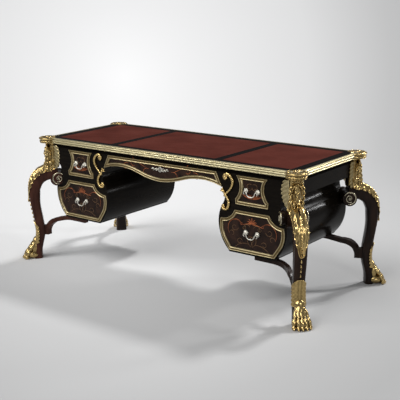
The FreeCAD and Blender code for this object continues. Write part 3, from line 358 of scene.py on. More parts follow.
def four_corners(piece, name, slot, *materials, replaced=None, smooth=50):
    """Sets a piece made in the corner's own frame at the front right corner and mirrors it to the rest."""
    take(piece)
    bpy.ops.object.transform_apply(location=True, rotation=True, scale=True)
    piece.data.transform(corner_frame)
    for corner, side_x, side_y in corners:
        copy = bpy.data.objects.new(name, piece.data.copy())
        bpy.context.scene.collection.objects.link(copy)
        copy.data.transform(Matrix.Diagonal((side_x, side_y, 1, 1)))
        if side_x * side_y < 0:
            copy.data.flip_normals()
        stood_for = tuple(f"{node}_{corner}" for node in replaced or ())
        settle(copy, f"{name}_{corner}", "root", slot, *materials, replaced=stood_for, smooth=smooth)
    bpy.data.objects.remove(piece)


def joined(parts):
    """Several pieces made one."""
    take(parts[0])
    for part in parts:
        part.select_set(True)
    bpy.ops.object.join()
    bpy.ops.object.transform_apply(location=True, rotation=True, scale=True)
    return parts[0]


def smooth_row(table, share):
    """A row of a table of places at a share of its length, on a smooth curve through its rows."""
    at = min(max(share, 0.0), 1.0) * (len(table) - 1)
    first = min(int(at), len(table) - 2)
    step = at - first
    before, start, end, after = (Vector(table[min(max(first + k, 0), len(table) - 1)])
                                 for k in (-1, 0, 1, 2))
    return 0.5 * (2 * start + (end - before) * step
                  + (2 * before - 5 * start + 4 * end - after) * step ** 2
                  + (3 * start - before - 3 * end + after) * step ** 3)


def sheet_metal(across_faces, along_faces, place, thick):
    """A cast skin: a sheet given a thickness inward."""
    skin = closed(grid(across_faces, along_faces, place), 0.00001, outward=False)
    return modified(skin, "SOLIDIFY", thickness=thick, offset=-1.0)


# The line inside the leg: outward of the corner, height, and the angle that its crest faces
leg_spine = ((-0.076, 0.564, 90), (-0.017, 0.563, 84), (0.019, 0.550, 69), (0.043, 0.529, 55),
             (0.060, 0.503, 40), (0.068, 0.470, 22), (0.072, 0.440, 8), (0.072, 0.390, 0),
             (0.067, 0.329, -2), (0.057, 0.264, 0), (0.0485, 0.198, 2), (0.050, 0.150, 0), (0.058, 0.099, 0))
half_leg = 0.036
leg_node = nodes["leg_front_right"].data
to_leg = corner_frame.inverted()
leg_surface = BVHTree.FromPolygons([to_leg @ v.co for v in leg_node.vertices],
                                   [tuple(p.vertices) for p in leg_node.polygons])


def on_leg(station, turn, rise):
    """A point over the leg: station along its spine from 0 to 1, turn from its crest in degrees."""
    r, z, face = smooth_row(leg_spine, station)
    start = Vector((r, 0, z))
    crest = Vector((math.cos(math.radians(face)), 0, math.sin(math.radians(face))))
    ray = crest * math.cos(math.radians(turn)) + Vector((0, 1, 0)) * math.sin(math.radians(turn))
    spot = leg_surface.ray_cast(start, ray)[0]
    if spot is None:
        return start + ray * half_leg
    return spot + ray * rise


# Knee mounts: a pair of long acanthus leaves pinned over each shoulder and down the knee.
# Cast with deep veins and a lobed outer edge, chased, gilt, and burnished on the ribs, with painted shade in
# the veins and hollows.
gilt = gilding("gilt_bronze", (0.76, 0.55, 0.23), (0.030, 0.016, 0.005), 0.17)
leaf_start = 0.03
leaf_end = 0.60
leaf_lobes = 8
leaf_thick = 0.0032


def lobe(share, count):
    """How far a lobed edge stands out, 0 to 1, with each lobe leaning towards the tip."""
    part = (share * count) % 1.0
    return math.sin(math.pi * part ** 1.6) ** 0.55 if part > 0 else 0.0


def knee_leaf(side):
    """The place function of the leaf on one side of the crest."""
    def place(over, along):
        station = leaf_start + (leaf_end - leaf_start) * along
        widest = 9 + 66 * (1 - along ** 2.4) ** 0.8
        edge = widest * (0.80 + 0.20 * lobe(along, leaf_lobes))
        turn = 5 + (edge - 5) * over
        vein = math.exp(-((over - 0.36) / 0.10) ** 2)
        ribs = math.cos(2 * math.pi * (leaf_lobes * along - 0.9 * over)) * over
        curl = 0.0035 * max(0.0, (over - 0.8) / 0.2) ** 2 + 0.007 * max(0.0, (along - 0.9) / 0.1) ** 2
        rise = 0.0030 + 0.0026 * vein + 0.0016 * ribs + curl
        return on_leg(station, side * turn, rise)
    return place


four_corners(joined([sheet_metal(22, 96, knee_leaf(side), leaf_thick) for side in (-1, 1)]),
             "knee_leaves", "gilt_bronze", gilt, replaced=("knee_leaf",))

# Husks: a falling chain of bell husks pinned down the crest of each leg, each in the mouth of the last.
# They grow smaller towards the ankle and end just over the sabot.
husk_count = 15
husk_long = 0.0135
husks = []
for k in range(husk_count):
    station = 0.24 + 0.50 * k / (husk_count - 1)
    spot = on_leg(station, 0, 0.0025)
    after = on_leg(station + 0.02, 0, 0.0025)
    clear()
    bpy.ops.mesh.primitive_uv_sphere_add(segments=10, ring_count=8, radius=1, location=spot)
    husk = bpy.context.object
    size = 1.15 - 0.5 * k / (husk_count - 1)
    husk.scale = (0.0052 * size, 0.0058 * size, husk_long * size)
    husk.rotation_euler = (spot - after).to_track_quat("Z", "Y").to_euler()
    for vertex in husk.data.vertices:
        flare = 1.0 - 0.55 * vertex.co.z
        vertex.co.x *= flare * (1.0 + 0.18 * math.cos(5 * math.atan2(vertex.co.y, vertex.co.x)))
        vertex.co.y *= flare
    husks.append(husk)
four_corners(joined(husks), "husk_chain", "gilt_bronze", gilt)

# Sabots and paws: a gilt stocking with a scalloped edge that opens into a lion's foot.
# Cast hollow over the foot of the leg, with five long toes, each with its knuckles and claw.
sabot_top = 0.765
sabot_low = 0.985
sabot_lobes = 6


def sabot(over, along):
    """The stocking round the front half of the ankle."""
    station = sabot_top + (sabot_low - sabot_top) * along
    station += 0.016 * (2 * over - 1) ** 2 * (1 - along) * 2
    side = 2 * over - 1
    scallop = lobe(along, sabot_lobes)
    turn = side * (60 + 16 * scallop + 8 * along)
    bead = max(0.0, (abs(side) - 0.80) / 0.20)
    flute = 0.0006 * math.cos(side * math.pi * 5)
    top_roll = 0.002 * max(0.0, 1 - along / 0.05)
    return on_leg(station, turn, 0.0028 + flute + 0.0032 * bead * scallop + top_roll)


def egg(place, radii, aim=None):
    """A rounded lump, its long axis Z turned to an aim."""
    clear()
    bpy.ops.mesh.primitive_uv_sphere_add(segments=20, ring_count=12, radius=1, location=place)
    lump = bpy.context.object
    lump.scale = radii
    if aim is not None:
        lump.rotation_euler = Vector(aim).to_track_quat("Z", "Y").to_euler()
    return lump


def bone(start, end, thick, swell=0.62):
    """A lump stretched from one point to another."""
    run = Vector(end) - Vector(start)
    return egg((Vector(start) + Vector(end)) / 2, (thick, thick, run.length * swell), run)


toe_lines = ((0.080, 0.0070, 0.128), (0.108, 0.0125, 0.094), (0.138, 0.0180, 0.058), (0.158, 0.0222, 0.022))
paw_lumps = [egg((0.108, 0, 0.026), (0.052, 0.047, 0.028)), egg((0.092, 0, 0.070), (0.034, 0.036, 0.048)),
             egg((0.083, 0, 0.108), (0.022, 0.031, 0.034))]
for toe in (-2, -1, 0, 1, 2):
    reach = 1.0 - 0.022 * toe * toe
    joints = [Vector((r * reach, spread * toe, z)) for r, spread, z in toe_lines]
    for k, thick in enumerate((0.0085, 0.0098, 0.0108)):
        paw_lumps.append(bone(joints[k], joints[k + 1], thick))
    paw_lumps.append(egg(joints[3] - Vector((0, 0, 0.009)), (0.0125, 0.0105, 0.0125)))
    claw = joints[3] + Vector((0.007, 0, -0.006))
    paw_lumps.append(bone(claw, claw + Vector((0.0085, 0, -0.010)), 0.0045, 0.8))
paw = modified(joined(paw_lumps), "REMESH", mode="VOXEL", voxel_size=0.0022)
modified(paw, "SMOOTH", factor=0.6, iterations=3)
for vertex in paw.data.vertices:
    vertex.co.z = max(vertex.co.z, 0.0)
    vertex.co.x = min(vertex.co.x, 0.177)
four_corners(joined([paw, sheet_metal(40, 60, sabot, 0.003)]), "paw_sabot", "gilt_bronze", gilt,
             replaced=("paw",), smooth=60)

# Corner caps: round gilt shells let over the four corners of the top, above the busts.
# Each is cast with a sunk and ribbed crown, a row of pearls, and a fluted skirt below the rim.
def turned(across_faces, along_faces, place):
    """A closed form placed by a turn about its middle and a share down its outline."""
    return closed(grid(across_faces, along_faces, lambda round_it, down: place(2 * math.pi * round_it, down)))


cap_centre = -0.030
cap_radius = 0.0595
cap_back = 0.038
cap_petals = 18
cap_outline = ((0.0, 0.7922), (0.16, 0.7924), (0.22, 0.7905), (0.44, 0.7885), (0.66, 0.7893),
               (0.80, 0.7912), (0.92, 0.7900), (1.0, 0.7858), (0.985, 0.7800), (0.90, 0.7760),
               (0.885, 0.7725), (0.93, 0.7690), (0.935, 0.7650), (0.88, 0.7600), (0.84, 0.7565),
               (0.0, 0.7562))


def cap_reach(turn):
    """The cap's radius: round outside, drawn in where it runs on to the board."""
    behind = max(0.0, (abs(math.atan2(math.sin(turn), math.cos(turn))) - 2.44) / 0.70)
    return cap_radius + (cap_back - cap_radius) * behind ** 2 * (3 - 2 * behind)


def cap_form(turn, along):
    """A point of the cap: its ribbed crown, rim and fluted skirt."""
    rho, z = smooth_row(cap_outline, along)
    petals = math.cos(cap_petals * turn)
    crown = math.exp(-((along - 0.28) / 0.10) ** 2)
    skirt = math.exp(-((along - 0.78) / 0.10) ** 2)
    reach = cap_reach(turn) * rho * (1 + 0.028 * skirt * petals)
    return Vector((cap_centre + reach * math.cos(turn), reach * math.sin(turn), z - 0.0013 * crown * petals))


cap_parts = [turned(144, 60, cap_form)]
pearls = 26
for k in range(pearls):
    turn = 2 * math.pi * k / pearls
    ring = cap_reach(turn) * 0.81
    cap_parts.append(egg((cap_centre + ring * math.cos(turn), ring * math.sin(turn), 0.7900),
                         (0.0034, 0.0034, 0.0028)))
for k in range(8):
    turn = 2 * math.pi * k / 8
    cap_parts.append(egg((cap_centre + 0.011 * math.cos(turn), 0.011 * math.sin(turn), 0.7905),
                         (0.0035, 0.0022, 0.0085), (math.cos(turn), math.sin(turn), 0.05)))
four_corners(joined(cap_parts), "corner_shell", "gilt_bronze", gilt, replaced=("corner_cap",))

# Busts: a calm woman's head and shoulders at the top of each leg, rising from a collar of leaves.
# Cast in one piece in the round, the hair in rolled locks under a crest, chased and gilt.
def tube(points, thick, radii=None, sides=2):
    """A round strand through points, swelling by radii."""
    curve = bpy.data.curves.new("strand", "CURVE")
    curve.dimensions = "3D"
    line = curve.splines.new("POLY")
    line.points.add(len(points) - 1)
    for k, point in enumerate(points):
        line.points[k].co = (*point, 1)
        line.points[k].radius = radii[k] if radii else 1.0
    curve.bevel_depth = thick
    curve.bevel_resolution = sides
    curve.use_fill_caps = True
    strand = bpy.data.objects.new("strand", curve)
    bpy.context.scene.collection.objects.link(strand)
    take(strand)
    bpy.ops.object.convert(target="MESH")
    return bpy.context.object


def along_row(table, count):
    """Evenly shared points on the smooth curve through a table."""
    return [smooth_row(table, k / (count - 1)) for k in range(count)]


head_lumps = (
    ((-0.026, 0, 0.703), (0.025, 0.021, 0.027)), ((-0.016, 0, 0.690), (0.018, 0.017, 0.027)),
    ((-0.014, 0, 0.673), (0.014, 0.012, 0.012)), ((-0.0025, 0, 0.667), (0.005, 0.006, 0.005)),
    ((0.0, 0, 0.697), (0.004, 0.0026, 0.009)), ((0.004, 0, 0.6865), (0.004, 0.0036, 0.0034)),
    ((0.0022, 0, 0.6795), (0.003, 0.0052, 0.0017)), ((0.0018, 0, 0.6762), (0.003, 0.0042, 0.0019)),
    ((-0.024, 0, 0.655), (0.014, 0.013, 0.026)), ((-0.030, 0, 0.620), (0.026, 0.036, 0.026)))
paired_lumps = (
    ((0.002, 0.0028, 0.6855), (0.0026, 0.002, 0.002)), ((-0.0015, 0.007, 0.7035), (0.0035, 0.0075, 0.0026)),
    ((-0.0026, 0.007, 0.698), (0.0036, 0.0038, 0.0032)), ((-0.004, 0.009, 0.688), (0.006, 0.0065, 0.007)),
    ((-0.012, 0.015, 0.622), (0.013, 0.013, 0.013)), ((-0.040, 0.028, 0.628), (0.018, 0.014, 0.016)))
bust_parts = [egg(place, radii) for place, radii in head_lumps]
for side in (-1, 1):
    bust_parts += [egg((place[0], side * place[1], place[2]), radii) for place, radii in paired_lumps]
    for lock in range(4):
        wave = ((-0.014 - 0.006 * lock, 0.002, 0.7265), (-0.006 - 0.007 * lock, 0.012, 0.722),
                (-0.007 - 0.007 * lock, 0.0205, 0.711), (-0.013 - 0.007 * lock, 0.0255, 0.697),
                (-0.017 - 0.006 * lock, 0.027 + 0.001 * lock, 0.682), (-0.018 - 0.005 * lock, 0.028, 0.667))
        points = [Vector((p.x + 0.0012 * math.sin(9 * k / 23 * math.pi), side * p.y, p.z))
                  for k, p in enumerate(along_row(wave, 24))]
        bust_parts.append(tube(points, 0.0040))
    for lock in range(3):
        fall = ((-0.020, 0.026, 0.735 - 0.012 * lock), (-0.012 - 0.006 * lock, 0.034, 0.715),
                (-0.012 - 0.006 * lock, 0.0375, 0.690), (-0.008 - 0.007 * lock, 0.036, 0.665),
                (-0.004 - 0.008 * lock, 0.033, 0.640), (-0.002 - 0.009 * lock, 0.029, 0.622))
        points = [Vector((p.x + 0.0028 * math.cos(0.9 * k), side * (p.y + 0.0028 * math.sin(0.9 * k)), p.z))
                  for k, p in enumerate(along_row(fall, 34))]
        bust_parts.append(tube(points, 0.0042, [0.8 + 0.3 * math.sin(0.9 * k) ** 2 for k in range(34)]))
for k in range(7):
    lean = math.radians(-66 + 22 * k)
    bust_parts.append(egg((-0.020, 0.021 * math.sin(lean), 0.724 + 0.014 * math.cos(lean)),
                          (0.0045, 0.0062, 0.0150), (0.25, math.sin(lean), math.cos(lean))))
    bust_parts.append(egg((-0.012, 0.030 * math.sin(lean), 0.722 + 0.024 * math.cos(lean)),
                          (0.0036, 0.0036, 0.0036)))
for k in range(9):
    turn = math.radians(-100 + 25 * k)
    out = Vector((math.cos(turn), math.sin(turn), 0))
    foot = Vector((-0.030, 0, 0.612)) + out * 0.031
    bust_parts.append(egg(foot, (0.0042, 0.0095, 0.0250), out * 0.45 - Vector((0, 0, 1))))
    bust_parts.append(egg(foot + out * 0.012 - Vector((0, 0, 0.021)), (0.0048, 0.0060, 0.0048)))
    bust_parts.append(bone(foot + out * 0.004 + Vector((0, 0, 0.02)),
                           foot + out * 0.013 - Vector((0, 0, 0.02)), 0.0016))
bust = modified(joined(bust_parts), "REMESH", mode="VOXEL", voxel_size=0.0013)
modified(bust, "SMOOTH", factor=0.5, iterations=2)

# The console behind the head carries the cap on the corner of the carcass
console_outline = ((0.0, 0.7560), (0.98, 0.7560), (1.0, 0.7500), (0.90, 0.7440), (0.80, 0.7360),
                   (0.76, 0.7000), (0.80, 0.6600), (0.94, 0.6300), (0.98, 0.6060), (0.80, 0.5940),
                   (0.0, 0.5940))


def console_form(turn, along):
    """A point of the fluted console."""
    rho, z = smooth_row(console_outline, along)
    flutes = 1 + 0.05 * math.cos(14 * turn) * math.exp(-((along - 0.55) / 0.2) ** 2)
    return Vector((-0.056 + 0.036 * rho * flutes * math.cos(turn), 0.036 * rho * flutes * math.sin(turn), z))


# Plumes: a pale feathered leaf on each face beside the bust, its barbs turned out from the corner
plume_barbs = 7


def plume(point_at, reach):
    """The place function of one plume; point_at takes a distance from the corner, a height and a rise."""
    def place(over, along):
        z = 0.742 - 0.152 * along
        widest = 0.016 + reach * math.sin(math.pi * min(1.0, 0.12 + 0.88 * along ** 0.9)) ** 0.7
        edge = widest * (0.84 + 0.16 * lobe(along, plume_barbs))
        ribs = math.cos(2 * math.pi * (plume_barbs * along - 1.3 * over)) * over ** 0.5
        swell = math.sin(math.pi * min(1.0, 0.25 + over * 0.72)) ** 0.8
        rise = 0.0015 + 0.011 * swell * (1 - 0.5 * along) + 0.0012 * ribs
        return to_leg @ point_at(0.062 + edge * over, z - 0.010 * over * (1 - over), rise)
    return place


front_low, front_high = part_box("pedestal_right")
front_plume = plume(lambda far, z, rise: Vector((edge_high.x - far, front_low.y - rise, z)), 0.036)
side_plume = plume(lambda far, z, rise: Vector((front_high.x + rise, edge_low.y + far, z)), 0.020)
side_skin = sheet_metal(14, 84, side_plume, 0.0025)
side_skin.data.flip_normals()
four_corners(joined([bust, turned(56, 40, console_form)]), "bust_mount", "gilt_bronze", gilt,
             replaced=("bust",), smooth=60)
plume_gilt = gilding("plume_gilt", (0.85, 0.70, 0.38), (0.30, 0.21, 0.08), 0.24)
four_corners(joined([sheet_metal(18, 84, front_plume, 0.0025), side_skin]), "bust_plumes",
             "gilt_bronze", plume_gilt, smooth=60)

# Leg scrolls: each leg turns over at its head into a round, waisted scroll of wood over the carcass corner.
# A thin bronze volute is pinned to both ends of it, silvered and gilt.
scroll_middle = Vector((-0.084, 0, 0.535))
scroll_end = 0.070


def scroll_form(turn, along):
    """A point of the waisted wooden roll."""
    outline = ((0, -scroll_end), (0.034, -scroll_end), (0.039, -scroll_end + 0.004), (0.038, -0.045),
               (0.034, -0.034), (0.036, 0.0), (0.034, 0.034), (0.038, 0.045), (0.039, scroll_end - 0.004),
               (0.034, scroll_end), (0, scroll_end))
    radius, a = smooth_row(outline, along)
    return scroll_middle + Vector((radius * math.cos(turn), a, radius * math.sin(turn)))


leg_scroll = turned(48, 40, scroll_form)
four_corners(leg_scroll, "leg_scroll", "ebonised_wood", leg_wood)
# The front left scroll takes the same lighter, redder copy of the leg finish as its leg.
bpy.data.objects["leg_scroll_front_left"].data.materials[0] = redder_wood


def spiral(start, end, first, last, count, depth):
    """Points of a scroll on the end of the leg's head: angles in degrees and radii in metres."""
    points = []
    for k in range(count):
        share = k / (count - 1)
        turn = math.radians(start + (end - start) * share)
        radius = first + (last - first) * share ** 0.8
        points.append(scroll_middle + Vector((radius * math.cos(turn), depth, radius * math.sin(turn))))
    return points


volute_gilt = gilding("volute_gilt", (0.56, 0.51, 0.37), (0.05, 0.038, 0.018), 0.2)
volute_parts = []
for side in (-1, 1):
    depth = side * (scroll_end + 0.0012)
    volute_parts.append(tube(spiral(150, -95, 0.0345, 0.0355, 50, depth), 0.0038,
                             [0.6 + 0.6 * math.sin(math.pi * k / 49) for k in range(50)]))
    volute_parts.append(tube(spiral(-60, -500, 0.0245, 0.0075, 70, depth), 0.0030,
                             [1 - 0.4 * k / 69 for k in range(70)]))
    volute_parts.append(egg(scroll_middle + Vector((0, depth, 0)), (0.0065, 0.0040, 0.0065)))
    for k in range(3):
        along = 0.30 + 0.028 * k
        reed_line = [on_leg(along + 0.01 * j, side * 1.9 - side * 0.03 * j, 0.0006) for j in range(8)]
        volute_parts.append(tube(reed_line, 0.0016))
four_corners(joined(volute_parts), "leg_volute", "gilt_bronze", volute_gilt)

# Scroll mounts: two C-scrolls one over the other, pinned beside each upper drawer.
# The long strap of the upper one is gadrooned; both end in small volutes and a flower.
upper_scroll = ((0.471, 0.699), (0.463, 0.697), (0.457, 0.706), (0.460, 0.718), (0.474, 0.7255),
                (0.491, 0.721), (0.506, 0.706), (0.513, 0.686), (0.509, 0.664), (0.496, 0.643),
                (0.480, 0.626), (0.466, 0.612), (0.458, 0.600))
lower_scroll = ((0.452, 0.626), (0.461, 0.612), (0.473, 0.598), (0.484, 0.580), (0.487, 0.560),
                (0.482, 0.541), (0.470, 0.5285), (0.456, 0.5265), (0.446, 0.533), (0.444, 0.545),
                (0.451, 0.551), (0.456, 0.545))
mount_parts = []
for table, swell in ((upper_scroll, 0.0080), (lower_scroll, 0.0072)):
    points = [Vector((p.x, front_low.y - 0.0062, p.y)) for p in along_row(table, 110)]
    radii = [0.72 + 0.34 * math.sin(math.pi * min(1.0, k / 80)) + 0.07 * math.sin(0.9 * k)
             for k in range(110)]
    mount_parts.append(tube(points, swell, radii, 3))
for x, z, size in ((0.4655, 0.7085, 0.0085), (0.452, 0.627, 0.0080), (0.456, 0.5415, 0.0070)):
    mount_parts.append(egg((x, front_low.y - 0.0075, z), (size, size * 0.75, size)))
for k in range(6):
    turn = math.radians(25 + 60 * k)
    away = Vector((math.cos(turn), 0.0, math.sin(turn)))
    mount_parts.append(egg((0.4655 + 0.009 * away.x, front_low.y - 0.0068, 0.7085 + 0.009 * away.z),
                           (0.0042, 0.0042, 0.0068), away))
for lean in (100, 140, 180):
    turn = math.radians(lean)
    away = Vector((math.cos(turn), 0.0, math.sin(turn)))
    mount_parts.append(egg((0.449 + 0.011 * away.x, front_low.y - 0.0055, 0.627 + 0.011 * away.z),
                           (0.0038, 0.0034, 0.0095), away))
mount = joined(mount_parts)
mirrored = bpy.data.objects.new("mount", mount.data.copy())
bpy.context.scene.collection.objects.link(mirrored)
mirrored.data.transform(Matrix.Diagonal((-1, 1, 1, 1)))
mirrored.data.flip_normals()
settle(mount, "scrolls_right", "root", "gilt_bronze", gilt, replaced=("scroll_mount_right",), smooth=60)
settle(mirrored, "scrolls_left", "root", "gilt_bronze", gilt, replaced=("scroll_mount_left",), smooth=60)


# Drawer frames: reeded bands of gilt bronze, mitred round the edge of every drawer front.
# Cast and drawn in lengths and pinned down: a flat, a deep groove and a raised reed inside it.
band_gilt = gilding("band_gilt", (0.62, 0.51, 0.29), (0.20, 0.14, 0.06), 0.3, 0.04)
band_section = ((0.0, 0.0004), (0.03, 0.0036), (0.09, 0.0056), (0.17, 0.0058), (0.23, 0.0048),
                (0.27, 0.0034), (0.57, 0.0038), (0.61, 0.0058), (0.69, 0.0076), (0.78, 0.0080),
                (0.87, 0.0066), (0.93, 0.0034), (1.0, 0.0008), (1.0, -0.0002), (0.0, -0.0002))


def ring_lines(node):
    """The outer and inner outlines of a flat ring-shaped piece, as points in its back plane."""
    back = max(vertex.co.y for vertex in node.data.vertices)
    shape = bmesh.new()
    shape.from_mesh(node.data)
    bmesh.ops.remove_doubles(shape, verts=shape.verts, dist=0.00001)
    flat = {face for face in shape.faces if all(abs(v.co.y - back) < 0.00002 for v in face.verts)}
    rim = [edge for edge in shape.edges if sum(face in flat for face in edge.link_faces) == 1]
    loops = []
    while rim:
        edge = rim.pop()
        loop = [edge.verts[0], edge.verts[1]]
        while True:
            following = next((e for e in rim if loop[-1] in e.verts), None)
            if following is None:
                break
            rim.remove(following)
            loop.append(following.other_vert(loop[-1]))
        if loop[0] == loop[-1]:
            loop.pop()
        loops.append([v.co.copy() for v in loop])
    shape.free()
    return sorted(loops, key=lambda loop: min(p.x for p in loop))[:2]


def even_runs(loop, each):
    """An outline's points shared out evenly between its corners, from the upper left corner round."""
    if sum(a.x * b.z - b.x * a.z for a, b in zip(loop, loop[1:] + loop[:1])) < 0:
        loop = loop[::-1]
    count = len(loop)
    turns = [(loop[k] - loop[k - 1]).angle(loop[(k + 1) % count] - loop[k]) for k in range(count)]
    ends = [k for k in range(count) if turns[k] > math.radians(16)]
    first = ends.index(max(ends, key=lambda k: loop[k].z - loop[k].x))
    ends = ends[first:] + ends[:first]
    points = []
    for start, stop in zip(ends, ends[1:] + ends[:1]):
        run = [loop[(start + k) % count] for k in range((stop - start) % count + 1)]
        lengths = [0.0]
        for p, q in zip(run, run[1:]):
            lengths.append(lengths[-1] + (q - p).length)
        for k in range(each):
            wanted = lengths[-1] * k / each
            at = max(i for i in range(len(run) - 1) if lengths[i] <= wanted + 1e-9)
            share = (wanted - lengths[at]) / (lengths[at + 1] - lengths[at])
            points.append(run[at].lerp(run[at + 1], share))
    return points


def drawer_frame(node_name, name, body):
    """A reeded frame: the section run round between the outer and the inner outline of the band."""
    outer, inner = (even_runs(loop, 16) for loop in ring_lines(nodes[node_name]))
    around, steps = len(outer), len(band_section)

    def place(along, over):
        k = round(along * around) % around
        share, height = band_section[round(over * steps) % steps]
        return outer[k].lerp(inner[k], share) - Vector((0, height, 0))

    return settle(closed(grid(around, steps, place)), name, body, "gilt_bronze", band_gilt,
                  replaced=(node_name,), smooth=38)


drawers = [(f"{level}_{side}", f"{level}_{side}_drawer")
           for level in ("upper", "lower") for side in ("left", "right")]
for drawer, body in drawers + [("centre", "centre_drawer")]:
    drawer_frame(f"{drawer}_band", f"{drawer}_frame", body)

# Drawer fronts: dark tortoiseshell veneer with Boulle marquetry, arabesques sawn from red-backed brass.
# Each strand is let in and engraved. Both pedestals carry the same design, laid out from the handle.
shell_veneer = stained("tortoiseshell", (0.0090, 0.0052, 0.0040), (0.042, 0.020, 0.013), 0.16, (2, 1, 2))
for drawer, body in drawers:
    dress(f"{drawer}_front", shell_veneer)
dress("centre_front", shell_veneer)
copper_red = gilding("inlay_red", (0.52, 0.16, 0.065), (0.22, 0.05, 0.02), 0.3)
inlay_brass = gilding("inlay_brass", (0.22, 0.125, 0.065), (0.09, 0.05, 0.025), 0.34)


def strand(start, heading, length, bend, grow=1.6, count=22):
    """A curling line: the heading turns by bend degrees, more and more towards the tip."""
    points = [Vector((start[0], 0, start[1]))]
    for k in range(1, count):
        turn = math.radians(heading + bend * (k / (count - 1)) ** grow)
        points.append(points[-1] + Vector((math.cos(turn), 0, math.sin(turn))) * (length / (count - 1)))
    return points


def marquetry(lines, middle_x, level, name, body, material):
    """Lays curling lines on a front, both ways from its middle: each line is a strand and its width."""
    parts = []
    for points, wide in lines:
        for side in (-1, 1):
            taper = [0.25 + 0.75 * math.sin(math.pi * min(0.98, 0.12 + 0.80 * k / (len(points) - 1)))
                     for k in range(len(points))]
            ribbon = tube([Vector((side * p.x, 0, p.z)) for p in points], wide / 2, taper)
            for vertex in ribbon.data.vertices:
                vertex.co.y *= 0.28
            parts.append(ribbon)
    inlay = joined(parts)
    inlay.data.transform(Matrix.Translation((middle_x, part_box("centre_front")[0].y, level)))
    return settle(inlay, name, body, "marquetry", material, smooth=60)


lower_palmette = [(strand((0.001 + 0.0006 * k, 0.052), 90 - 21 * k, 0.034 - 0.0015 * k, -34 * k), 0.0040)
                  for k in range(4)]
lower_palmette += [(strand((0.006, 0.048), 12, 0.060, -40, 1.0), 0.0028),
                   (strand((0.072, 0.052), 150, 0.034, 330, 1.0), 0.0026),
                   (strand((0.072, 0.052), 60, 0.150, -175, 0.8), 0.0032)]
lower_scrolls = [(strand((0.012, 0.030), 84, 0.066, -190, 1.0), 0.0026),
                 (strand((0.062, 0.030), 265, 0.060, -330, 1.3), 0.0024),
                 (strand((0.086, 0.020), 300, 0.090, 300, 1.6), 0.0026),
                 (strand((0.004, -0.078), 84, 0.050, 60, 1.0), 0.0026),
                 (strand((0.006, -0.076), 38, 0.110, 260, 1.8), 0.0030),
                 (strand((0.020, -0.062), 10, 0.110, -60, 1.0), 0.0024),
                 (strand((0.060, -0.050), 60, 0.080, -320, 1.4), 0.0024),
                 (strand((0.150, -0.020), 100, 0.070, 260, 1.4), 0.0024)]
upper_fan = [(strand((0.003 + 0.003 * k, -0.046 + 0.001 * k), 78 - 14 * k, 0.026 + 0.004 * k, 6), 0.0032)
             for k in range(5)]
upper_fan += [(strand((0.006, -0.044), 4, 0.060, 30, 1.0), 0.0026)]
upper_scrolls = [(strand((0.004, 0.036), 20, 0.060, -230, 1.6), 0.0024),
                 (strand((0.020, 0.006), 250, 0.040, 250, 1.4), 0.0022),
                 (strand((0.002, 0.020), 250, 0.030, -60, 1.0), 0.0022)]
centre_scrolls = [(strand((0.085, -0.006), 10, 0.090, -250, 1.8), 0.0028),
                  (strand((0.110, 0.000), 20, 0.110, 12, 1.0), 0.0026),
                  (strand((0.190, 0.004), 330, 0.070, 300, 1.6), 0.0026),
                  (strand((0.240, 0.010), 10, 0.090, -280, 1.8), 0.0026)]
for drawer, body in drawers:
    low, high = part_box(f"{drawer}_posts")
    middle = (low + high) / 2
    warm, cool = (upper_fan, upper_scrolls) if drawer.startswith("upper") else (lower_palmette, lower_scrolls)
    marquetry(warm, middle.x, middle.z, f"{drawer}_palmette", body, copper_red)
    marquetry(cool, middle.x, middle.z, f"{drawer}_arabesques", body, inlay_brass)
plate_low, plate_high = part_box("escutcheon")
marquetry(centre_scrolls, 0.0, (plate_low.z + plate_high.z) / 2, "centre_arabesques", "centre_drawer",
          copper_red)

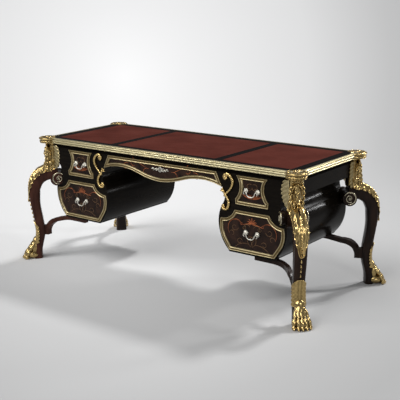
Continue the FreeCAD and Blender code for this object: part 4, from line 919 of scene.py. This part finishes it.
# Handles: on each pedestal drawer two shell-shaped plates whose posts carry a swinging bail.
# All are cast bronze, silvered by wear; a nut behind the front holds each post.
handle_gilt = gilding("handle_gilt", (0.93, 0.90, 0.80), (0.42, 0.36, 0.26), 0.24)
bail_path = ((0.0400, 0.0, -0.0165), (0.0436, 0.0, -0.0125), (0.0432, 0.0, -0.0050), (0.0372, 0.0, 0.0005),
             (0.0300, 0.0, -0.0035), (0.0262, 0.0, -0.0120), (0.0215, 0.0, -0.0215), (0.0130, 0.0, -0.0282),
             (0.0050, 0.0, -0.0300), (0.0, 0.0, -0.0290))
for drawer, body in drawers:
    low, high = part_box(f"{drawer}_posts")
    middle = (low + high) / 2
    bail_low, bail_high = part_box(f"{drawer}_bail")
    pivot = Vector((middle.x, (bail_low.y + bail_high.y) / 2, middle.z))
    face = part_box(f"{drawer}_front")[0].y
    plates = []
    for side in (-1, 1):
        eye = Vector((pivot.x + side * 0.037, face, pivot.z))
        for k in range(9):
            turn = math.radians(40 * k + 90)
            out = Vector((math.cos(turn), 0, math.sin(turn)))
            plates.append(egg(eye + out * 0.0088 + Vector((0, -0.0022, 0)), (0.0034, 0.0030, 0.0062), out))
        plates += [egg(eye + Vector((0, -0.003, 0)), (0.0072, 0.0050, 0.0072)),
                   egg(eye + Vector((0, -0.0165, 0)), (0.0052, 0.0060, 0.0052)),
                   bone(eye + Vector((0, 0.024, 0)), eye + Vector((0, -0.016, 0)), 0.0028, 0.8),
                   egg(eye + Vector((0, 0.0225, 0)), (0.0052, 0.0030, 0.0052))]
    settle(joined(plates), f"{drawer}_shells", body, "handle_metal", handle_gilt,
           replaced=(f"{drawer}_posts",), smooth=60)
    half = along_row(bail_path, 60)
    whole = [Vector((pivot.x + p.x, pivot.y, pivot.z + p.z)) for p in half]
    whole += [Vector((pivot.x - p.x, pivot.y, pivot.z + p.z)) for p in half[-2::-1]]
    swell = [0.7 + 0.3 * math.sin(math.pi * min(1.0, 3 * k / 118, 3 * (118 - k) / 118) / 2)
             for k in range(119)]
    bars = [tube(whole, 0.0030, swell, 3)]
    for x, z, size in ((0.0, -0.0292, 0.0025), (0.0400, -0.0165, 0.0025), (-0.0400, -0.0165, 0.0025)):
        bars.append(egg(pivot + Vector((x, 0, z)), (size, size, size)))
    settle(joined(bars), f"{drawer}_handle_bail", f"{drawer}_handle", "handle_metal", handle_gilt,
           replaced=(f"{drawer}_bail",), smooth=60)

# Escutcheon: a cartouche of leaves round the keyhole of the centre drawer, pinned on.
# Cast and chased, pale with wear.
plate_middle = (plate_low + plate_high) / 2
leaves = [egg((0, plate_high.y, plate_middle.z), (0.0155, 0.0028, 0.0165)),
          egg((0, plate_high.y, plate_middle.z + 0.012), (0.008, 0.0026, 0.0050))]
for side in (-1, 1):
    for x, z, long, wide, lean in ((0.018, 0.003, 0.013, 0.0065, 20), (0.021, -0.006, 0.012, 0.0055, -25),
                                   (0.033, 0.001, 0.012, 0.0062, 10), (0.040, -0.004, 0.010, 0.0045, -30),
                                   (0.048, 0.003, 0.011, 0.0045, 25), (0.057, -0.001, 0.0085, 0.0042, -5)):
        turn = math.radians(lean)
        leaves.append(egg((side * x, plate_high.y, plate_middle.z + z), (wide, 0.0027, long),
                          (side * math.cos(turn), 0, math.sin(turn))))
plate = modified(joined(leaves), "REMESH", mode="VOXEL", voxel_size=0.0008)
hole_parts = [egg((0, plate_low.y, plate_middle.z + 0.003), (0.0030, 0.006, 0.0030)),
              egg((0, plate_low.y, plate_middle.z - 0.003), (0.0016, 0.006, 0.0065))]
keyhole = modified(joined(hole_parts), "REMESH", mode="VOXEL", voxel_size=0.0005)
modified(plate, "BOOLEAN", object=keyhole, operation="DIFFERENCE", solver="EXACT")
bpy.data.objects.remove(keyhole)
settle(plate, "keyhole_cartouche", "centre_drawer", "handle_metal", handle_gilt,
       replaced=("escutcheon",), smooth=60)


# Studio: a seamless floor with painted light in its colour, palest behind the desk. The painted paleness
# spreads from one line of sight, that of the main view, and darkens away from it. The key comes from behind,
# high up, a wide soft light fills the front, and small lamps glint on the metal and the polish.
floor_material, tree, shader = finish("studio_floor", Roughness=0.9, Specular_IOR_Level=0.1)
seen_from = (3.1116, -4.0449, 1.7300)
painted_light_way = (-0.6673, 0.7375, -0.1045)
here = add(tree, "TexCoord").outputs["Object"]
away = add(tree, "VectorMath", {0: here, 1: seen_from}, operation="SUBTRACT").outputs["Vector"]
way = add(tree, "VectorMath", {0: away}, operation="NORMALIZE").outputs["Vector"]
spread = add(tree, "VectorMath", {0: way, 1: painted_light_way}, operation="DISTANCE").outputs["Value"]
share = add(tree, "Math", {0: spread, 1: 0.5}, operation="DIVIDE").outputs["Value"]
# Painted light: a pale pool along the main view's line of sight behind the desk, darkening away from it.
connect(tree, shader, Base_Color=ramp(tree, share, (0.0, 0.92), (0.16, 0.82), (0.42, 0.69), (0.60, 0.50),
                                      (0.76, 0.40), (0.90, 0.35)))
clear()
bpy.ops.mesh.primitive_plane_add(size=400, location=(0, 0, 0))
floor = bpy.context.object
floor.name = "studio_floor"
floor.data.materials.append(floor_material)


def lamp(name, kind, place, aim, size, power):
    """A soft lamp that looks at a point; a sun takes its size in degrees."""
    clear()
    bpy.ops.object.light_add(type=kind, location=place)
    light = bpy.context.object
    light.name = name
    light.data.energy = power
    if kind == "SUN":
        light.data.angle = math.radians(size)
    else:
        light.data.size = size
    light.rotation_euler = (Vector(aim) - Vector(place)).to_track_quat("-Z", "Y").to_euler()


lamp("key_light", "SUN", (0.54, 2.64, 3.36), (0, 0, 0.4), 7, 1.7)
lamp("fill_light", "SUN", (-0.9, -2.4, 3.6), (0, 0, 0.4), 40, 1.65)
lamp("left_lamp", "AREA", (-2.8, -3.4, 2.4), (0, 0, 0.5), 0.5, 26)
lamp("front_lamp", "AREA", (0.9, -4.6, 2.9), (0, 0, 0.5), 0.5, 26)
lamp("right_lamp", "AREA", (4.4, -2.2, 2.0), (0.6, 0, 0.5), 0.5, 26)
lamp("side_lamp", "AREA", (2.14, 2.18, 0.80), (0.84, 0.06, 0.53), 0.12, 3.5)
lamp("back_lamp", "AREA", (2.2, 2.3, 1.9), (0.85, 0, 0.54), 0.4, 30)
world = bpy.data.worlds.new("studio")
world.use_nodes = True
world.node_tree.nodes["Background"].inputs["Color"].default_value = (0.92, 0.93, 0.95, 1)
world.node_tree.nodes["Background"].inputs["Strength"].default_value = 0.30
bpy.context.scene.world = world

# Camera: a little above the top and well to the right, as a catalogue shows such a desk.
# The angles are in degrees, and the lens gives the narrow view of a camera that stands back.
azimuth = math.radians(37.25)
elevation = math.radians(14.16)
tilt = math.radians(-0.517)
stand_off = 5.2408
target = Vector((0.0385, 0.0020, 0.4479))
back = Vector((math.sin(azimuth) * math.cos(elevation), -math.cos(azimuth) * math.cos(elevation),
               math.sin(elevation)))
level_right = Vector((math.cos(azimuth), math.sin(azimuth), 0))
level_up = back.cross(level_right)
right = level_right * math.cos(tilt) + level_up * math.sin(tilt)
up = level_up * math.cos(tilt) - level_right * math.sin(tilt)
clear()
bpy.ops.object.camera_add(location=target + back * stand_off)
camera = bpy.context.object
camera.name = "camera"
camera.data.sensor_width = 36.0
camera.data.lens = 77.74
camera.rotation_euler = Matrix((right, up, back)).transposed().to_euler()
bpy.context.scene.camera = camera
bpy.context.scene.view_settings.view_transform = "Standard"
